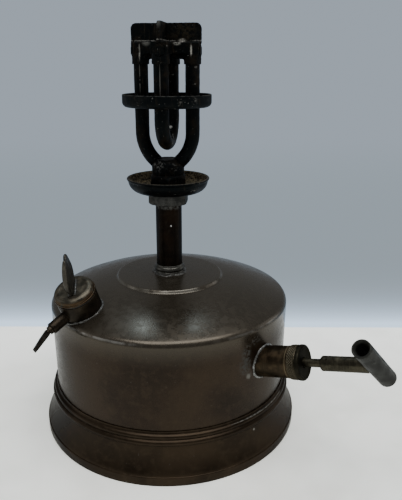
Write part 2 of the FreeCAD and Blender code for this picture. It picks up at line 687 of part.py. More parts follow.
def riser_pieces():
    """Collar, solder ring, riser tube, nut, pick-up tube and strainer."""
    bore = d.riser_radius + d.seam_gap
    collar_foot = platform_height(d.collar_neck)
    subpart(lathe("riser_collar_body", [
        (bore, platform_height(bore)),
        (d.collar_neck, collar_foot),
        (d.collar_neck, d.collar_edge - d.collar_groove),
        (d.collar_radius, d.collar_edge),
        (d.riser_radius + d.collar_lip, d.collar_top),
        (bore, d.collar_top),
    ]), "riser_collar")
    solder_bore = d.collar_neck + d.seam_gap
    edge = platform_height(d.solder_radius)
    subpart(lathe("riser_solder_body", [
        (solder_bore, platform_height(solder_bore)),
        (d.solder_radius, edge),
        (d.solder_radius, edge + d.solder_edge),
        (solder_bore, edge + d.solder_rise),
    ]), "riser_solder_ring")
    inner = d.riser_radius - d.riser_wall
    washer("riser_tube", d.riser_radius, inner, d.riser_bottom, d.riser_top)
    subpart(riser_nut(), "riser_nut", frame_at(yaw=d.nut_turn))
    plug_top = d.riser_bottom + d.pickup_plug
    pipe = join(
        "pickup_outside",
        rod("pickup_pipe", d.pickup_radius, d.pickup_bottom, plug_top),
        rod("pickup_stopper", inner - d.seam_gap, d.riser_bottom, plug_top),
    )
    passage = rod(
        "pickup_bore", d.pickup_radius - d.pickup_wall, d.pickup_bottom - OVERCUT, plug_top + OVERCUT,
    )
    subpart(cut("pickup_cut", pipe, passage), "pickup_tube")
    strainer_bore = d.pickup_radius + d.seam_gap
    low = d.pickup_bottom - d.strainer_room
    subpart(lathe("strainer_body", [
        (ZERO, low),
        (d.strainer_radius, low),
        (d.strainer_radius, low + d.strainer_length),
        (strainer_bore, low + d.strainer_length),
        (strainer_bore, low + d.strainer_length - d.strainer_wall),
        (d.strainer_radius - d.strainer_wall, low + d.strainer_length - d.strainer_wall),
        (d.strainer_radius - d.strainer_wall, low + d.strainer_wall),
        (ZERO, low + d.strainer_wall),
    ]), "fuel_strainer")


def riser_nut():
    """Hexagon brazed on the riser's top; the burner's spigot screws into it."""
    nut_top = d.cup_bottom - d.seam_gap
    corner = d.nut_across * (CORNER / 2)
    blank = lathe("riser_nut_blank", [
        (ZERO, d.nut_bottom),
        (corner - d.nut_chamfer, d.nut_bottom),
        (corner, d.nut_bottom + d.nut_chamfer),
        (corner, nut_top - d.nut_top_chamfer),
        (corner - d.nut_top_chamfer, nut_top),
        (ZERO, nut_top),
    ])
    hexed = overlap("riser_nut_hexed", blank, hexagon("riser_nut_flats", d.nut_across, d.nut_bottom, nut_top))
    return cut(
        "riser_nut_cut",
        hexed,
        rod("riser_nut_counterbore", d.riser_radius + d.seam_gap, d.nut_bottom - OVERCUT, d.riser_top),
        rod("riser_nut_thread", d.spigot_radius + d.thread_gap, d.riser_top - OVERCUT, nut_top + OVERCUT),
    )


def spirit_cup():
    """Shallow cup for the priming spirit, clamped between the riser's nut and the burner's hub."""
    low = d.cup_bottom
    top = d.cup_bottom + d.cup_height
    hole = d.spigot_radius + d.seam_gap
    inside = d.cup_round - d.cup_sheet
    half_lip = d.cup_lip / 2
    subpart(lathe("spirit_cup_body", [
        (hole, low),
        (d.cup_wall_radius - d.cup_round, low, -d.cup_round),
        (d.cup_wall_radius, low + d.cup_round),
        (d.cup_radius - half_lip, top - d.cup_lip_foot),
        (d.cup_radius, top - d.cup_lip),
        (d.cup_radius, top - half_lip),
        (d.cup_radius - half_lip, top),
        (d.cup_radius - d.cup_lip, top),
        (d.cup_radius - d.cup_lip_foot, top - half_lip),
        (d.cup_wall_radius - d.cup_sheet, low + d.cup_round, inside),
        (d.cup_wall_radius - d.cup_round, low + d.cup_sheet),
        (hole, low + d.cup_sheet),
    ]), "spirit_cup")


# ---------------------------------------------------------------- burner


def burner_hub():
    """Hexagon, round block and two slopes that take the rising tubes, with the fuel's bores."""
    low = d.hub_bottom
    hex_top = low + d.hub_hex_height
    cone_top = hex_top + d.hub_cone_height
    corner = d.hub_across * (CORNER / 2)
    spigot_end = low - d.spigot_length
    spigot = rod("hub_spigot", d.spigot_radius, spigot_end, low + OVERCUT)
    turned = lathe("hub_turned", [
        (ZERO, low),
        (corner, low),
        (corner, hex_top),
        (d.hub_radius, cone_top),
        (d.hub_radius, d.hub_top),
        (ZERO, d.hub_top),
    ])
    flats = hexagon("hub_flats", d.hub_across, low, d.hub_top)
    block = join("hub_block", overlap("hub_hexed", turned, flats), spigot)
    tools = [rod("hub_bore", d.fuel_bore, spigot_end - OVERCUT, d.hub_top - d.hub_bore_end)]
    reach = d.hub_radius * 2
    for side in (1, -1):
        slope = doc.addObject("Part::Box", f"hub_slope_{side}")
        for prop in ("Length", "Width", "Height"):
            bind(slope, prop, reach)
        on_slope = frame_at(z=d.hub_apex, pitch=SLANT * side)
        put(slope, on_slope * frame_at(-reach / 2, -reach / 2))
        tools.append(slope)
        tools.append(slanted_rod(f"hub_socket_{side}", d.tube_radius + d.tube_fit, side, -d.rise_seat, reach))
        tools.append(slanted_rod(f"hub_duct_{side}", d.fuel_bore, side, -d.hub_duct_depth, reach))
    subpart(cut("burner_hub_cut", block, *tools), "burner_hub", BURNER)


def slope_point():
    """Radius and height where a rising tube's axis meets the hub's slope."""
    run_radius = d.tube_circle - d.rise_bend * (1 - DIAGONAL)
    run_height = d.rise_bend_height - d.rise_bend * DIAGONAL
    drop = (run_radius + run_height - d.hub_apex) / 2
    return run_radius - drop, run_height - drop


def slanted_rod(name, radius, side, low, high):
    """A cylinder along a rising tube's slanted run, measured outwards from the hub's slope."""
    out, up = slope_point()
    return rod(name, radius, low, high, frame_at(out * side, z=up, pitch=SLANT * side))


def rising_run(name, radius, side):
    """Filled run of a rising tube: slanted, bent by an eighth turn, then upright into the head."""
    out, _ = slope_point()
    slanted = (d.tube_circle - d.rise_bend * (1 - DIAGONAL) - out) / DIAGONAL
    upright = rod(f"{name}_upright", radius, d.rise_bend_height, tube_top(), x=d.tube_circle * side)
    centre = frame_at(
        (d.tube_circle - d.rise_bend) * side, z=d.rise_bend_height,
        yaw=ZERO if side > 0 else HALF_TURN, roll=-QUARTER_TURN,
    )
    bend = ring_bend(f"{name}_bend", d.rise_bend, radius, SLANT.value, centre)
    return join(name, upright, bend, slanted_rod(f"{name}_slant", radius, side, -d.rise_seat, slanted))


def tube_top():
    """Height of the tubes' upper ends inside the head."""
    return d.head_bottom + d.tube_seat - d.socket_drop


def rising_tubes():
    """The two tubes that carry fuel from the hub up to the head."""
    for side, label in ((1, "rising_tube_right"), (-1, "rising_tube_left")):
        outside = rising_run(f"{label}_outside", d.tube_radius, side)
        inside = rising_run(f"{label}_inside", d.tube_radius - d.tube_wall, side)
        subpart(cut(f"{label}_cut", outside, inside), label, BURNER)


def return_run(name, radius):
    """Filled run of the return tube: two upright legs and a half-turn under them."""
    legs = [
        rod(f"{name}_leg_{side}", radius, d.return_bend_height, tube_top(), y=d.tube_circle * side)
        for side in (1, -1)
    ]
    centre = frame_at(z=d.return_bend_height, yaw=-QUARTER_TURN, roll=-QUARTER_TURN)
    return join(name, *legs, ring_bend(f"{name}_bend", d.tube_circle, radius, HALF_TURN.value, centre))


def jet_seat():
    """Height of the jet's boss on the return tube."""
    return d.return_bend_height - d.tube_circle + d.tube_radius + d.jet_boss_rise


def return_tube():
    """U-tube that brings the vapour down from the head to the jet."""
    middle = d.return_bend_height - d.tube_circle
    boss = rod("jet_boss", d.jet_boss_radius, middle, jet_seat())
    outside = join("return_tube_solid", return_run("return_tube_outside", d.tube_radius), boss)
    inside = return_run("return_tube_inside", d.tube_radius - d.tube_wall)
    thread = rod("jet_boss_thread", d.jet_thread + d.thread_gap, middle, jet_seat() + OVERCUT)
    subpart(cut("return_tube_cut", outside, inside, thread), "return_tube", BURNER)


def jet_nipple():
    """Hexagon and cone of the jet, with its thread in the boss."""
    low = jet_seat()
    corner = d.jet_across * (CORNER / 2)
    hex_top = low + d.jet_hex_height
    top = low + d.jet_height
    turned = lathe("jet_turned", [
        (ZERO, low),
        (corner, low),
        (corner, hex_top - d.jet_chamfer),
        (corner - d.jet_chamfer, hex_top),
        (d.jet_cone_radius, hex_top),
        (d.jet_tip_radius, top),
        (ZERO, top),
    ])
    hexed = overlap("jet_hexed", turned, hexagon("jet_flats", d.jet_across, low, top))
    thread_end = low - d.jet_thread_length
    blank = join("jet_blank", hexed, rod("jet_thread", d.jet_thread, thread_end, low + OVERCUT))
    hole = rod("jet_orifice", d.jet_hole, thread_end - OVERCUT, top + OVERCUT)
    subpart(cut("jet_nipple_cut", blank, hole), "jet_nipple", BURNER)


def tube_places():
    """Where the four tubes stand round the burner's axis."""
    circle = d.tube_circle
    return [(circle, ZERO), (ZERO, circle), (-circle, ZERO), (ZERO, -circle)]


def burner_head():
    """Casting: crossed arms with bored channels, four sockets under them and crossed fins on top."""
    half = d.head_width / 2
    tools = []
    solids = []
    channel = (d.head_bottom + d.head_top) / 2
    fin_foot = d.head_top - d.fin_root
    spot_radius = d.plug_across * (CORNER / 2) + d.plug_fit
    reach = d.head_reach + OVERCUT
    for turn in (0, 90):
        arm = plate(f"head_arm_{turn}", [
            (-half, d.head_bottom + d.head_round),
            (-half, d.head_top),
            (half, d.head_top),
            (half, d.head_bottom + d.head_round, -d.head_round),
            (half - d.head_round, d.head_bottom),
            (-half + d.head_round, d.head_bottom, -d.head_round),
        ], d.head_reach * 2, "YZ_Plane")
        fin = plate(f"head_fin_{turn}", [
            (-d.fin_reach, fin_foot),
            (-d.fin_reach, d.fin_top - d.fin_round, d.fin_round),
            (-d.fin_reach + d.fin_round, d.fin_top),
            (d.fin_reach - d.fin_round, d.fin_top, d.fin_round),
            (d.fin_reach, d.fin_top - d.fin_round),
            (d.fin_reach, fin_foot),
        ], d.fin_thickness)
        for body in (arm, fin):
            put(body, frame_at(yaw=turn))
        solids += [arm, fin]
        lie = frame_at(z=channel, yaw=turn, pitch=QUARTER_TURN)
        tools.append(rod(f"head_channel_{turn}", d.fuel_bore, -reach, reach, lie))
        tools.append(rod(f"head_spot_{turn}_out", spot_radius, d.head_reach, reach, lie))
        tools.append(rod(f"head_spot_{turn}_back", spot_radius, -reach, -d.head_reach, lie))
    low = d.head_bottom - d.socket_drop
    for index, (x, y) in enumerate(tube_places()):
        socket_top = d.head_bottom + d.head_round
        solids.append(rod(f"head_socket_{index}", d.socket_radius, low, socket_top, x=x, y=y))
        seat_top = tube_top() + d.tube_fit
        seat_foot = low - OVERCUT
        tools.append(rod(f"head_seat_{index}", d.tube_radius + d.tube_fit, seat_foot, seat_top, x=x, y=y))
        tools.append(rod(f"head_duct_{index}", d.fuel_bore, seat_foot, channel, x=x, y=y))
    subpart(cut("burner_head_cut", join("burner_head_solid", *solids), *tools), "burner_head", BURNER)


def channel_plugs():
    """Four hexagon-headed plugs that close the head's bored channels."""
    plugs = []
    channel = (d.head_bottom + d.head_top) / 2
    for index in range(ARMS):
        top = d.head_reach + d.plug_head
        head = hexagon(f"plug_head_{index}", d.plug_across, d.head_reach, top)
        low = d.head_reach - d.plug_length
        thread = rod(f"plug_thread_{index}", d.fuel_bore - d.plug_fit, low, top)
        plug = join(f"plug_{index}", head, thread)
        plugs.append(put(plug, frame_at(z=channel, yaw=QUARTER_TURN * index, pitch=QUARTER_TURN)))
    group = doc.addObject("Part::Compound", "channel_plug_group")
    group.Links = plugs
    subpart(group, "channel_plugs", BURNER)


def flame_dish():
    """Shallow dish round the four tubes, open in the middle for the flame."""
    low = d.dish_bottom
    top = low + d.dish_height
    inside = d.dish_round - d.dish_sheet
    wall = d.dish_radius - d.dish_sheet
    dish = lathe("flame_dish_body", [
        (d.dish_hole, low),
        (d.dish_radius - d.dish_round, low, -d.dish_round),
        (d.dish_radius, low + d.dish_round),
        (d.dish_radius, top),
        (wall, top),
        (wall, low + d.dish_round, inside),
        (d.dish_radius - d.dish_round, low + d.dish_sheet),
        (d.dish_hole, low + d.dish_sheet),
    ])
    hole = d.tube_radius + d.tube_fit
    holes = [
        rod(f"dish_hole_{index}", hole, low - OVERCUT, low + d.dish_round, x=x, y=y)
        for index, (x, y) in enumerate(tube_places())
    ]
    subpart(cut("flame_dish_cut", dish, *holes), "flame_dish", BURNER)


# ---------------------------------------------------------------- pump


def pump_body():
    """Barrel with its end plug, solder ring at the wall and screwed cap."""
    bore = d.barrel_radius - d.barrel_wall
    washer("pump_barrel", d.barrel_radius, bore, d.barrel_start, d.barrel_end, PUMP)
    washer(
        "barrel_end_plug", bore - d.seam_gap, d.valve_radius + d.thread_gap,
        d.barrel_start, d.barrel_start + d.barrel_plug, PUMP,
    )
    inside = d.tank_radius * WALL_CUT_START
    ring = rod("pump_solder_outside", d.barrel_radius + d.pump_solder, inside, d.cap_start, PUMP)
    hole = rod("pump_solder_hole", d.barrel_radius + d.seam_gap, inside - OVERCUT, d.cap_end, PUMP)
    band = overlap("pump_solder_band", ring, envelope("pump_solder_reach", d.solder_height))
    subpart(cut("pump_solder_cut", band, hole, envelope("pump_solder_wall", ZERO)), "pump_solder_ring")
    thread = d.barrel_radius + d.thread_gap
    face = d.cap_end - d.cap_face
    subpart(lathe("pump_cap_body", [
        (thread, d.cap_start),
        (d.cap_band_radius, d.cap_start),
        (d.cap_band_radius, d.cap_start + d.cap_band),
        (d.cap_radius, d.cap_start + d.cap_band + d.cap_chamfer / 2),
        (d.cap_radius, d.cap_end - d.cap_chamfer),
        (d.cap_radius - d.cap_chamfer, d.cap_end),
        (d.rod_radius + d.rod_gap, d.cap_end),
        (d.rod_radius + d.rod_gap, face),
        (thread, face),
    ]), "pump_cap", PUMP)


def plunger():
    """Rod with nut, washers and leather cup at its inner end, sleeve and handle at its outer end."""
    nut_top = d.piston_start + d.piston_nut_height
    washer_top = nut_top + d.piston_washer
    leather_low = washer_top + d.face_gap
    leather_top = leather_low + d.leather_thickness
    back_low = leather_top + d.face_gap
    shoulder = back_low + d.piston_back
    thread_bore = d.rod_thread + d.seam_gap
    rod_end = d.sleeve_start + d.rod_seat
    rod_start = d.piston_start - d.rod_tip
    subpart(lathe("pump_rod_body", [
        (ZERO, rod_start),
        (d.rod_thread, rod_start),
        (d.rod_thread, shoulder),
        (d.rod_radius, shoulder),
        (d.rod_radius, rod_end),
        (ZERO, rod_end),
    ]), "pump_rod", PUMP)
    nut = hexagon("piston_nut_flats", d.piston_nut_across, d.piston_start, nut_top)
    nut_bore = rod("piston_nut_bore", thread_bore, d.piston_start - OVERCUT, nut_top + OVERCUT)
    subpart(cut("piston_nut_cut", nut, nut_bore), "piston_nut", PUMP)
    washer("piston_front_washer", d.piston_washer_radius, thread_bore, nut_top, washer_top, PUMP)
    washer("piston_back_washer", d.piston_back_radius, thread_bore, back_low, shoulder, PUMP)
    leather = d.barrel_radius - d.barrel_wall - d.leather_gap
    lip = leather - d.leather_thickness
    subpart(lathe("pump_leather_body", [
        (thread_bore, leather_low),
        (lip, leather_low),
        (lip, leather_low - d.leather_depth),
        (leather, leather_low - d.leather_depth),
        (leather, leather_top - d.leather_round),
        (leather - d.leather_round, leather_top),
        (thread_bore, leather_top),
    ]), "pump_leather", PUMP)


def pump_handle():
    """Hollow tube across the rod, with the sleeve that carries it."""
    edge = d.handle_radius - d.handle_chamfer
    tube = lathe("handle_body", [
        (d.handle_bore + d.handle_lip, ZERO),
        (edge, ZERO),
        (d.handle_radius, d.handle_chamfer),
        (d.handle_radius, d.handle_length - d.handle_chamfer),
        (edge, d.handle_length),
        (d.handle_bore + d.handle_lip, d.handle_length),
        (d.handle_bore, d.handle_length - d.handle_lip),
        (d.handle_bore, d.handle_lip),
    ])
    across = frame_at(z=d.handle_axis, yaw=d.handle_turn, pitch=QUARTER_TURN)
    across = across * frame_at(z=-d.handle_shift - d.handle_length / 2)
    saddle = rod("handle_reach", d.handle_radius + d.seam_gap, ZERO, d.handle_length, across)
    subpart(tube, "pump_handle", PUMP * across)
    blank = lathe("sleeve_blank", [
        (d.rod_radius + d.seam_gap, d.sleeve_start),
        (d.sleeve_radius - d.sleeve_bevel, d.sleeve_start),
        (d.sleeve_radius, d.sleeve_start + d.sleeve_bevel),
        (d.sleeve_radius, d.handle_axis),
        (ZERO, d.handle_axis),
        (ZERO, d.sleeve_start + d.rod_seat + d.seam_gap),
        (d.rod_radius + d.seam_gap, d.sleeve_start + d.rod_seat + d.seam_gap),
    ])
    subpart(cut("handle_sleeve_cut", blank, saddle), "handle_sleeve", PUMP)


def check_valve():
    """Valve body in the barrel's end plug, with its disc and spring."""
    end = d.barrel_start + d.barrel_plug
    seat = end - d.valve_wall
    floor = d.valve_start + d.valve_wall
    subpart(lathe("valve_body_lathe", [
        (d.valve_hole, d.valve_start),
        (d.valve_radius, d.valve_start),
        (d.valve_radius, end),
        (d.valve_hole, end),
        (d.valve_hole, seat),
        (d.valve_chamber, seat),
        (d.valve_chamber, floor),
        (d.valve_hole, floor),
    ]), "check_valve_body", PUMP)
    face = seat - d.pip_seat_gap
    back = face - d.pip_thickness
    subpart(lathe("valve_disc_body", [
        (ZERO, back - d.pip_stem_length),
        (d.pip_stem, back - d.pip_stem_length),
        (d.pip_stem, back),
        (d.pip_radius, back),
        (d.pip_radius, face),
        (ZERO, face),
    ]), "check_valve_disc", PUMP)
    low = floor + d.spring_wire + d.pip_seat_gap
    coil = Part.makeHelix(
        d.spring_pitch.value, back.value - low.value - d.spring_wire.value - d.pip_seat_gap.value,
        d.spring_radius.value,
    )
    coil.translate(Vector(0, 0, low.value))
    start = coil.Edges[0].valueAt(coil.Edges[0].FirstParameter)
    heading = coil.Edges[0].tangentAt(coil.Edges[0].FirstParameter)
    section = Part.Wire(Part.makeCircle(d.spring_wire.value, start, heading))
    wire = doc.addObject("Part::Feature", "valve_spring_wire")
    wire.Shape = Part.Wire(coil.Edges).makePipeShell([section], True, True)
    subpart(wire, "check_valve_spring", PUMP)


# ---------------------------------------------------------------- filler, cap and vent


def local_envelope(name, grow, frame):
    """The grown tank outside, seen from a slanted frame."""
    return put(envelope(name, grow), frame.inverse())


def filler_neck():
    """Neck that stands on the dome, with the vent's boss on its side."""
    low = -d.neck_height
    solid = join(
        "filler_neck_solid",
        rod("filler_neck_outside", d.neck_radius, low, d.neck_height),
        rod("vent_boss", d.vent_radius, d.neck_bore, d.vent_length, VENT_IN_FILLER),
    )
    subpart(cut(
        "filler_neck_cut",
        solid,
        rod("filler_neck_bore", d.neck_bore, low - OVERCUT, d.neck_height + OVERCUT),
        rod("vent_screw_bore", d.vent_bore, d.vent_seat, d.vent_length + OVERCUT, VENT_IN_FILLER),
        rod("vent_passage", d.vent_hole, d.neck_bore - OVERCUT, d.vent_length, VENT_IN_FILLER),
        local_envelope("filler_neck_dome", ZERO, FILLER),
    ), "filler_neck", FILLER)
    ring = overlap(
        "filler_solder_band",
        rod("filler_solder_outside", d.neck_radius + d.neck_solder, low, d.neck_height),
        local_envelope("filler_solder_reach", d.solder_height, FILLER),
    )
    subpart(cut(
        "filler_solder_cut",
        ring,
        rod("filler_solder_hole", d.neck_radius + d.seam_gap, low - OVERCUT, d.neck_height + OVERCUT),
        rod("filler_solder_notch", d.vent_radius + d.seam_gap, d.neck_bore, d.vent_length, VENT_IN_FILLER),
        local_envelope("filler_solder_dome", ZERO, FILLER),
    ), "filler_solder_ring", FILLER)
    washer(
        "filler_gasket", d.gasket_radius, d.neck_bore, d.neck_height,
        d.neck_height + d.gasket_thickness, FILLER,
    )


def filler_cap():
    """Screwed cap: stem in the neck, lip, rounded head and the wing brazed on it."""
    low = d.neck_height + d.gasket_thickness + d.face_gap
    top = low + d.lid_height
    stem = d.neck_bore - d.cap_stem_gap
    stem_end = low - d.cap_stem_length
    subpart(lathe("filler_cap_body", [
        (ZERO, stem_end),
        (stem - d.stem_chamfer, stem_end),
        (stem, stem_end + d.stem_chamfer),
        (stem, low),
        (d.lid_lip_radius, low),
        (d.lid_lip_radius, low + d.lid_lip_height),
        (d.lid_radius, low + d.lid_lip_height),
        (d.lid_radius, top - d.lid_round, -d.lid_round),
        (d.lid_radius - d.lid_round, top),
        (ZERO, top),
    ]), "filler_cap", FILLER)
    waist = top + d.wing_waist
    crown = top + d.wing_height
    shoulder = d.wing_reach - d.wing_lobe
    wing = plate("cap_wing_plate", [
        (-d.wing_base, top),
        (-d.wing_reach, waist, -d.wing_lobe * 2),
        (-shoulder, crown, -d.wing_lobe * 2),
        (ZERO, crown - d.wing_dip, -d.wing_lobe * 2),
        (shoulder, crown, -d.wing_lobe * 2),
        (d.wing_reach, waist),
        (d.wing_base, top),
    ], d.wing_thickness)
    subpart(wing, "cap_wing", FILLER * frame_at(yaw=d.wing_turn))


def vent_screw():
    """Needle screw with its washer and thumb lever."""
    washer_top = d.vent_length + d.vent_washer_thickness
    stem = d.vent_bore - d.vent_screw_gap
    washer("vent_washer", d.vent_washer_radius, stem + d.seam_gap, d.vent_length, washer_top, VENT)
    collar_low = washer_top + d.face_gap
    collar_top = collar_low + d.vent_collar
    neck_top = collar_top + d.vent_neck_length
    needle = d.vent_seat + d.vent_screw_gap
    subpart(lathe("vent_screw_body", [
        (ZERO, needle),
        (d.needle_tip, needle),
        (stem, needle + stem),
        (stem, collar_low),
        (d.vent_washer_radius, collar_low),
        (d.vent_washer_radius, collar_top),
        (d.vent_neck_radius, collar_top),
        (d.vent_neck_radius, neck_top),
        (ZERO, neck_top),
    ]), "vent_screw", VENT)
    half = d.lever_thickness / 2
    far = neck_top + d.lever_length
    side = plate("lever_side", [
        (-half, neck_top),
        (d.lever_drop - d.lever_tip / 2, far),
        (d.lever_drop + d.lever_tip / 2, far),
        (half, neck_top),
    ], d.lever_width)
    wide = d.lever_width / 2
    slim = d.lever_tip_width / 2
    root_half = d.lever_root_width / 2
    swell = neck_top + d.lever_swell
    front = plate("lever_front", [
        (-root_half, neck_top),
        (-wide, swell),
        (-slim, far - d.lever_tip_corner, d.lever_tip_round),
        (slim, far - d.lever_tip_corner),
        (wide, swell),
        (root_half, neck_top),
    ], (d.lever_thickness + d.lever_drop) * 2, "YZ_Plane")
    subpart(overlap("vent_lever_common", side, front), "vent_lever", VENT * frame_at(yaw=d.lever_turn))


# ---------------------------------------------------------------- build, check and write


def build():
    tank_shell()
    foot_skirt()
    tank_bottom()
    riser_pieces()
    spirit_cup()
    washer(
        "burner_washer", d.hub_radius, d.spigot_radius + d.seam_gap,
        d.cup_bottom + d.cup_sheet, d.hub_bottom,
    )
    burner_hub()
    rising_tubes()
    return_tube()
    jet_nipple()
    burner_head()
    channel_plugs()
    flame_dish()
    pump_body()
    plunger()
    pump_handle()
    check_valve()
    filler_neck()
    filler_cap()
    vent_screw()
    doc.recompute()


def check():
    """Stop unless every object was computed and every sub-part has a valid shape."""
    for item in doc.Objects:
        wrong = {"Invalid", "Error"} & set(item.State)
        if wrong:
            raise RuntimeError(f"{item.Name} is {sorted(wrong)}")
    for item in SUBPARTS:
        shape = item.Shape
        if shape.isNull() or not shape.isValid() or not shape.Solids:
            raise RuntimeError(f"{item.Label} has no valid solid")
        print(f"{item.Label}: {len(shape.Solids)} solid(s), {shape.Volume:.1f} mm3")


def write():
    os.makedirs("parts", exist_ok=True)
    for item in SUBPARTS:
        item.Shape.exportStep(os.path.join("parts", f"{item.Label}.step"))


build()
check()
write()
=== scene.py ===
"""Looks of a brass kerosene pressure stove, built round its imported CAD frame."""

from math import asin, atan2, ceil, cos, degrees, exp, hypot, pi, radians, sin, sqrt, tan, tau

import bmesh
import bpy
from mathutils import Matrix, Vector, noise


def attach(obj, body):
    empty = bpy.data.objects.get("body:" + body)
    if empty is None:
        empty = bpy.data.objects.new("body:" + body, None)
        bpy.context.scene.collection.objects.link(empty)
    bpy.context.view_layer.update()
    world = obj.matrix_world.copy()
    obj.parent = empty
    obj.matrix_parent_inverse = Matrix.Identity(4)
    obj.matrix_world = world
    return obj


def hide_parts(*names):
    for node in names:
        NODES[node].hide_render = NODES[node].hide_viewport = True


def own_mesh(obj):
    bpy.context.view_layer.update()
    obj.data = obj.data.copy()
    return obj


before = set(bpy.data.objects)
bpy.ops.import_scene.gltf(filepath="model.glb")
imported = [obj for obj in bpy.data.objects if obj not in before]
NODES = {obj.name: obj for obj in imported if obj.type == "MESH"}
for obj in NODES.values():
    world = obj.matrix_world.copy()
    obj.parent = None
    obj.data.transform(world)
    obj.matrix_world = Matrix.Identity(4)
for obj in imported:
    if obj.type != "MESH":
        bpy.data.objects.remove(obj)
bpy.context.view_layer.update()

MM = 0.001
SQRT_HALF = sqrt(0.5)


# ---- frames of the slanted axes, millimetres


def axis_matrix(origin, yaw, pitch):
    """A frame at a place in millimetres, turned by pitch about Y and then by yaw about Z, in degrees."""
    turned_by = Matrix.Rotation(radians(yaw), 4, "Z") @ Matrix.Rotation(radians(pitch), 4, "Y")
    return Matrix.Translation(Vector(origin)) @ turned_by


def around(angle, distance):
    """X and Y at an angle in degrees and a distance."""
    return distance * cos(radians(angle)), distance * sin(radians(angle))


PUMP_AZIMUTH = -34.9
PUMP = axis_matrix((*around(PUMP_AZIMUTH - 90, 12.5), 44.3), PUMP_AZIMUTH, 75.9)
FILLER = axis_matrix((*around(-143.5, 67.3), 94.5), -120.0, 24.5)
VENT = FILLER @ axis_matrix((0, 0, 4.5), -15.5, 90)
BURNER = axis_matrix((0, 0, 0), -12.0, 0)
WORLD = Matrix.Identity(4)

# ---- the tank's outside, for what sits on it

WALL_LOW, WALL_TOP = 79.3, 80.0
SHELL_BOTTOM, SHOULDER_Z = 21.0, 86.2
SHOULDER, CROWN = 4.7, 140.0
EDGE_SLOPE = radians(24.2)
SHOULDER_R = WALL_TOP - SHOULDER
EDGE_R = SHOULDER_R + SHOULDER * sin(EDGE_SLOPE)
EDGE_Z = SHOULDER_Z + SHOULDER * cos(EDGE_SLOPE)
CROWN_R = EDGE_R - CROWN * sin(EDGE_SLOPE)
CROWN_Z = EDGE_Z - CROWN * cos(EDGE_SLOPE)
STEP_R, STEP_WIDTH, STEP_RISE = 35.9, 1.0, 1.8
STEP_Z = CROWN_Z + sqrt(CROWN ** 2 - (STEP_R - CROWN_R) ** 2)
PLATFORM_R = STEP_R - STEP_WIDTH
PLATFORM_Z = STEP_Z + STEP_RISE
PLATFORM_TOP = PLATFORM_Z + 0.9
RISER_HOLE = 8.4
SHEET = 0.9


def tank_distance(point):
    """Roughly how far a point in millimetres is outside the tank's sheet."""
    radius, z = hypot(point.x, point.y), point.z
    if z <= SHOULDER_Z:
        share = (z - SHELL_BOTTOM) / (SHOULDER_Z - SHELL_BOTTOM)
        return radius - (WALL_LOW + (WALL_TOP - WALL_LOW) * share)
    if radius > SHOULDER_R and atan2(radius - SHOULDER_R, z - SHOULDER_Z) > EDGE_SLOPE:
        return hypot(radius - SHOULDER_R, z - SHOULDER_Z) - SHOULDER
    if radius > STEP_R:
        return hypot(radius - CROWN_R, z - CROWN_Z) - CROWN
    return z - PLATFORM_Z - (PLATFORM_TOP - PLATFORM_Z) * (PLATFORM_R - radius) / (PLATFORM_R - RISER_HOLE)


def tank_normal(point):
    """Outward direction of the tank's sheet near a point."""
    step = 0.05
    here = tank_distance(point)
    slope = [tank_distance(point + axis * step) - here for axis in Matrix.Identity(3)]
    return Vector(slope).normalized()


def land(start, direction):
    """Where a line from outside the tank, run backwards along a direction, meets the tank's sheet."""
    low, high = -60.0, 60.0
    for _ in range(40):
        middle = (low + high) / 2
        if tank_distance(start + direction * middle) > 0:
            high = middle
        else:
            low = middle
    return start + direction * high


# ---- meshes


def wobble(point, size, seed=0.0):
    """Smooth noise between about -1 and 1 for a point in millimetres."""
    return noise.noise(Vector(point) / size + Vector((seed, seed * 1.7, seed * 0.3)))


def polar(radius, angle, height=0.0):
    """The point at a radius, an angle in radians and a height."""
    return Vector((radius * cos(angle), radius * sin(angle), height))


def outward(point):
    """The level direction from the Z axis to a point."""
    return Vector((point.x, point.y, 0)).normalized()


def in_scene(name, data):
    """A new object with its data, linked to the scene."""
    piece = bpy.data.objects.new(name, data)
    bpy.context.scene.collection.objects.link(piece)
    return piece


def metres(name, mesh):
    """Mesh data in metres from a bmesh in millimetres."""
    bmesh.ops.scale(mesh, vec=(MM, MM, MM), verts=mesh.verts)
    bmesh.ops.recalc_face_normals(mesh, faces=mesh.faces)
    data = bpy.data.meshes.new(name)
    mesh.to_mesh(data)
    mesh.free()
    return data


def dress(piece, look, replaces=(), body="stove"):
    """Give a piece its material, its body and the CAD nodes that it stands for."""
    piece.data.materials.clear()
    piece.data.materials.append(look)
    piece.data.shade_smooth()
    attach(piece, body)
    if replaces:
        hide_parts(*replaces)
    return piece


def make(name, mesh, look, replaces=(), body="stove"):
    """Turn a bmesh in millimetres into a piece that rides on a body."""
    return dress(in_scene(name, metres(name, mesh)), look, replaces, body)


def rounded(points, steps=5):
    """An outline of (radius, height[, fillet]) points with its fillets drawn as short arcs."""
    outline = []
    count = len(points)
    for index, point in enumerate(points):
        here = Vector(point[:2])
        fillet = point[2] if len(point) > 2 else 0.0
        if not fillet:
            outline.append(here)
            continue
        back = Vector(points[index - 1][:2]) - here
        ahead = Vector(points[(index + 1) % count][:2]) - here
        half = back.angle(ahead) / 2
        run = min(fillet / tan(half), back.length * 0.49, ahead.length * 0.49)
        toward = (back.normalized() + ahead.normalized()).normalized()
        centre = here + toward * (run / cos(half))
        first = here + back.normalized() * run - centre
        bend = first.angle_signed(here + ahead.normalized() * run - centre)
        for step in range(steps + 1):
            outline.append(centre + Matrix.Rotation(-bend * step / steps, 2) @ first)
    return outline


def pipe(bore, outer, low, top, outer_fillet, inner_fillet=0.0):
    """The outline of a tube whose edges at its top are rounded."""
    return rounded([(bore, low), (outer, low), (outer, top, outer_fillet), (bore, top, inner_fillet)])


